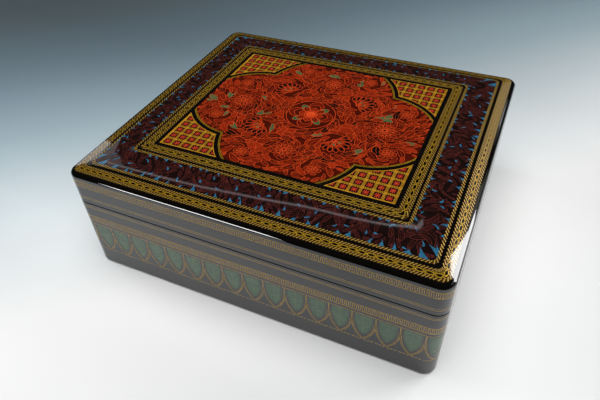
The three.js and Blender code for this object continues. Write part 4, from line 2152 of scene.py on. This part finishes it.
@dataclass(frozen=True)
class Softbox:
    """A lit panel that only glossy surfaces see."""

    name: str
    strength: float
    corners: tuple[Place, ...]
    colour: Colour = (1.0, 1.0, 1.0)

    def drawn_in(self, place: Place, share: float) -> "Softbox":
        """Gives a smaller panel nearer to a place, from which it looks the same.

        Args:
            place: The place.
            share: How far from the place the new panel is, as a share of the old distance.

        Returns:
            The nearer panel.
        """
        middle = np.array(place)
        corners = middle + share * (np.array(self.corners) - middle)
        return replace(self, corners=tuple(map(tuple, corners.tolist())))

    def build(self) -> None:
        """Makes the panel."""
        material = bpy.data.materials.new(self.name)
        material.use_nodes = True
        nodes, links = material.node_tree.nodes, material.node_tree.links
        glow = nodes.new("ShaderNodeEmission")
        glow.inputs["Color"].default_value = (*self.colour, 1)
        glow.inputs["Strength"].default_value = self.strength
        links.new(glow.outputs[0], nodes["Material Output"].inputs["Surface"])
        panel = made(self.name, self.corners, [tuple(range(len(self.corners)))], material)
        panel.visible_camera = panel.visible_diffuse = panel.visible_shadow = False


def level(height: float, *plan: Pair) -> tuple[Place, ...]:
    """Gives the corners of a level panel at a height."""
    return tuple((x, y, height) for x, y in plan)


@dataclass
class Studio:
    """The paper sweep, the soft lamps and what the lacquer mirrors, in metres."""

    sweep: Sweep
    floor: tuple[Pair, Pair] = ((-4.0, -0.31), (4.0, 4.0))
    room: Colour = (0.017, 0.014, 0.009)
    backdrop: Colour = (0.5, 0.57, 0.61)
    lamps: tuple[Lamp, ...] = (
        Lamp("overhead", (0.1, -0.2, 2.1), 2.0, 56),
        Lamp("left", (-1.9, -0.1, 1.0), 1.3, 13),
        Lamp("right_back", (1.3, 1.5, 1.4), 1.2, 26),
    )
    height: float = 1.5  # of the overhead panels
    haze_height: float = 1.51  # just above them
    window_mark: Place = (0.13, -0.09, 0.09)  # the lid's front right corner
    window_share: float = 0.25
    tube_halves: Pair = (0.012, 0.024)

    def build(self) -> None:
        """Makes the floor, the lights and the view settings."""
        paper = self.sweep.material()
        (left, front), (right, back) = self.floor
        self.sheet("paper_sweep", paper, (left, front), (right, back))
        near_paper = self.sheet("near_paper", paper, (left, -back), (right, front))
        near_paper.visible_glossy = near_paper.visible_diffuse = False
        for light in (*self.lamps, *self.mirror_panels(), self.tube()):
            light.build()
        self.surroundings()
        bpy.context.scene.view_settings.view_transform = "Standard"

    def sheet(self, name: str, paper: bpy.types.Material, near: Pair, far: Pair) -> bpy.types.Object:
        """Lays a sheet of the paper on the table.

        Args:
            name: The sheet's name.
            paper: Its material.
            near: Its front left corner.
            far: Its back right corner.

        Returns:
            The sheet.
        """
        (left, front), (right, back) = near, far
        corners = level(0, (left, front), (right, front), (right, back), (left, back))
        sheet = made(name, corners, [(0, 1, 2, 3)], paper)
        return sheet

    def surroundings(self) -> None:
        """Makes the room: a pale backdrop for the camera, and nearly dark for what the lacquer mirrors."""
        world = bpy.data.worlds.new("studio")
        world.use_nodes = True
        tree = world.node_tree
        seen = tree.nodes.new("ShaderNodeLightPath").outputs["Is Camera Ray"]
        tint = mixed(tree, seen, self.room, self.backdrop)
        tree.links.new(tint, tree.nodes["Background"].inputs["Color"])
        bpy.context.scene.world = world

    def mirror_panels(self) -> list[Softbox]:
        """Lists the panels that the crown and the rim mirror.

        Returns:
            The panels.
        """
        window = Softbox("window_panel", 10, level(
            self.height, (0.655, 1.3), (0.8, 1.6), (1.27, 2.03), (2.43, 3.1), (3.0, 3.6), (3.0, 1.4),
            (1.6, 0.8), (0.74, 1.18),
        ))
        low_window = Softbox("low_window_panel", 8.5, (
            (3.0, 3.6, 1.5), (3.0, 3.25, 0.7), (3.0, 3.1, 0.15), (3.0, 1.4, 0.15), (3.0, 1.4, 1.5),
        ))
        window_haze = Softbox("window_haze", 0.5, level(
            self.haze_height, (0.62, 1.1), (0.62, 3.0), (0.775, 3.0), (0.775, 1.9), (1.15, 2.2), (2.2, 3.3),
            (3.0, 3.9), (3.0, 0.1), (1.5, 0.0), (0.72, 1.0),
        ), (1, 0.96, 0.82))
        far_panel = Softbox("far_panel", 2, level(
            self.height, (0.79, 2.48), (0.81, 2.8), (1.1, 2.8), (1.1, 2.48),
        ), (0.92, 0.97, 1))
        left_panel = Softbox("left_panel", 1.2, level(
            self.height, (-3.9, 2.2), (-4.2, 2.75), (-7.2, 4.6), (-6.6, 3.4),
        ))
        left_haze = Softbox("left_haze", 0.45, level(
            self.haze_height, (-1.4, 0.42), (-1.28, 0.52), (-1.42, 0.75), (-3.9, 2.7), (-3.9, 2.1),
        ), (1, 0.97, 0.98))
        rim_panel = Softbox("rim_panel", 16, (
            (-1.122, -1.469, 0.03), (-0.528, -1.723, 0.03), (-0.611, -1.692, 0.46), (-1.195, -1.409, 0.36),
        ))
        return [
            window.drawn_in(self.window_mark, self.window_share),
            window_haze,
            far_panel,
            left_panel,
            left_haze,
            low_window.drawn_in(self.window_mark, self.window_share),
            rim_panel,
        ]

    def tube(self) -> Softbox:
        """Gives the bent lamp tube whose thin reflection crosses the dark band.

        Returns:
            The panel, as a ribbon that widens towards the right.
        """
        line = np.array([
            (-1.46, 0.53), (-1.36, 0.534), (-1.229, 0.538), (-1.105, 0.545), (-0.916, 0.577),
            (-0.811, 0.614), (-0.669, 0.666), (-0.496, 0.75), (-0.313, 0.784), (-0.242, 0.81),
            (-0.177, 0.846), (-0.123, 0.91), (-0.057, 1.005), (0.022, 1.116), (0.117, 1.243), (0.206, 1.364),
        ])
        side = left_of(line) * np.linspace(*self.tube_halves, len(line))[:, None]
        ribbon = np.concatenate([line + side, (line - side)[::-1]])
        return Softbox("strip_panel", 1.3, level(self.height, *ribbon.tolist()), (1, 0.9, 0.94))


def main() -> None:
    """Builds the scene and reports the pieces."""
    logging.basicConfig(level=logging.INFO)
    coats, crown = Coats(), Crown()
    Camera().build()
    Studio(Sweep()).build()
    Box(coats).build()
    Lid(coats, crown).build()
    Boards(coats).dress()
    LidOrnament(crown).lay()
    SideOrnament().lay()


if __name__ == "__main__":
    main()
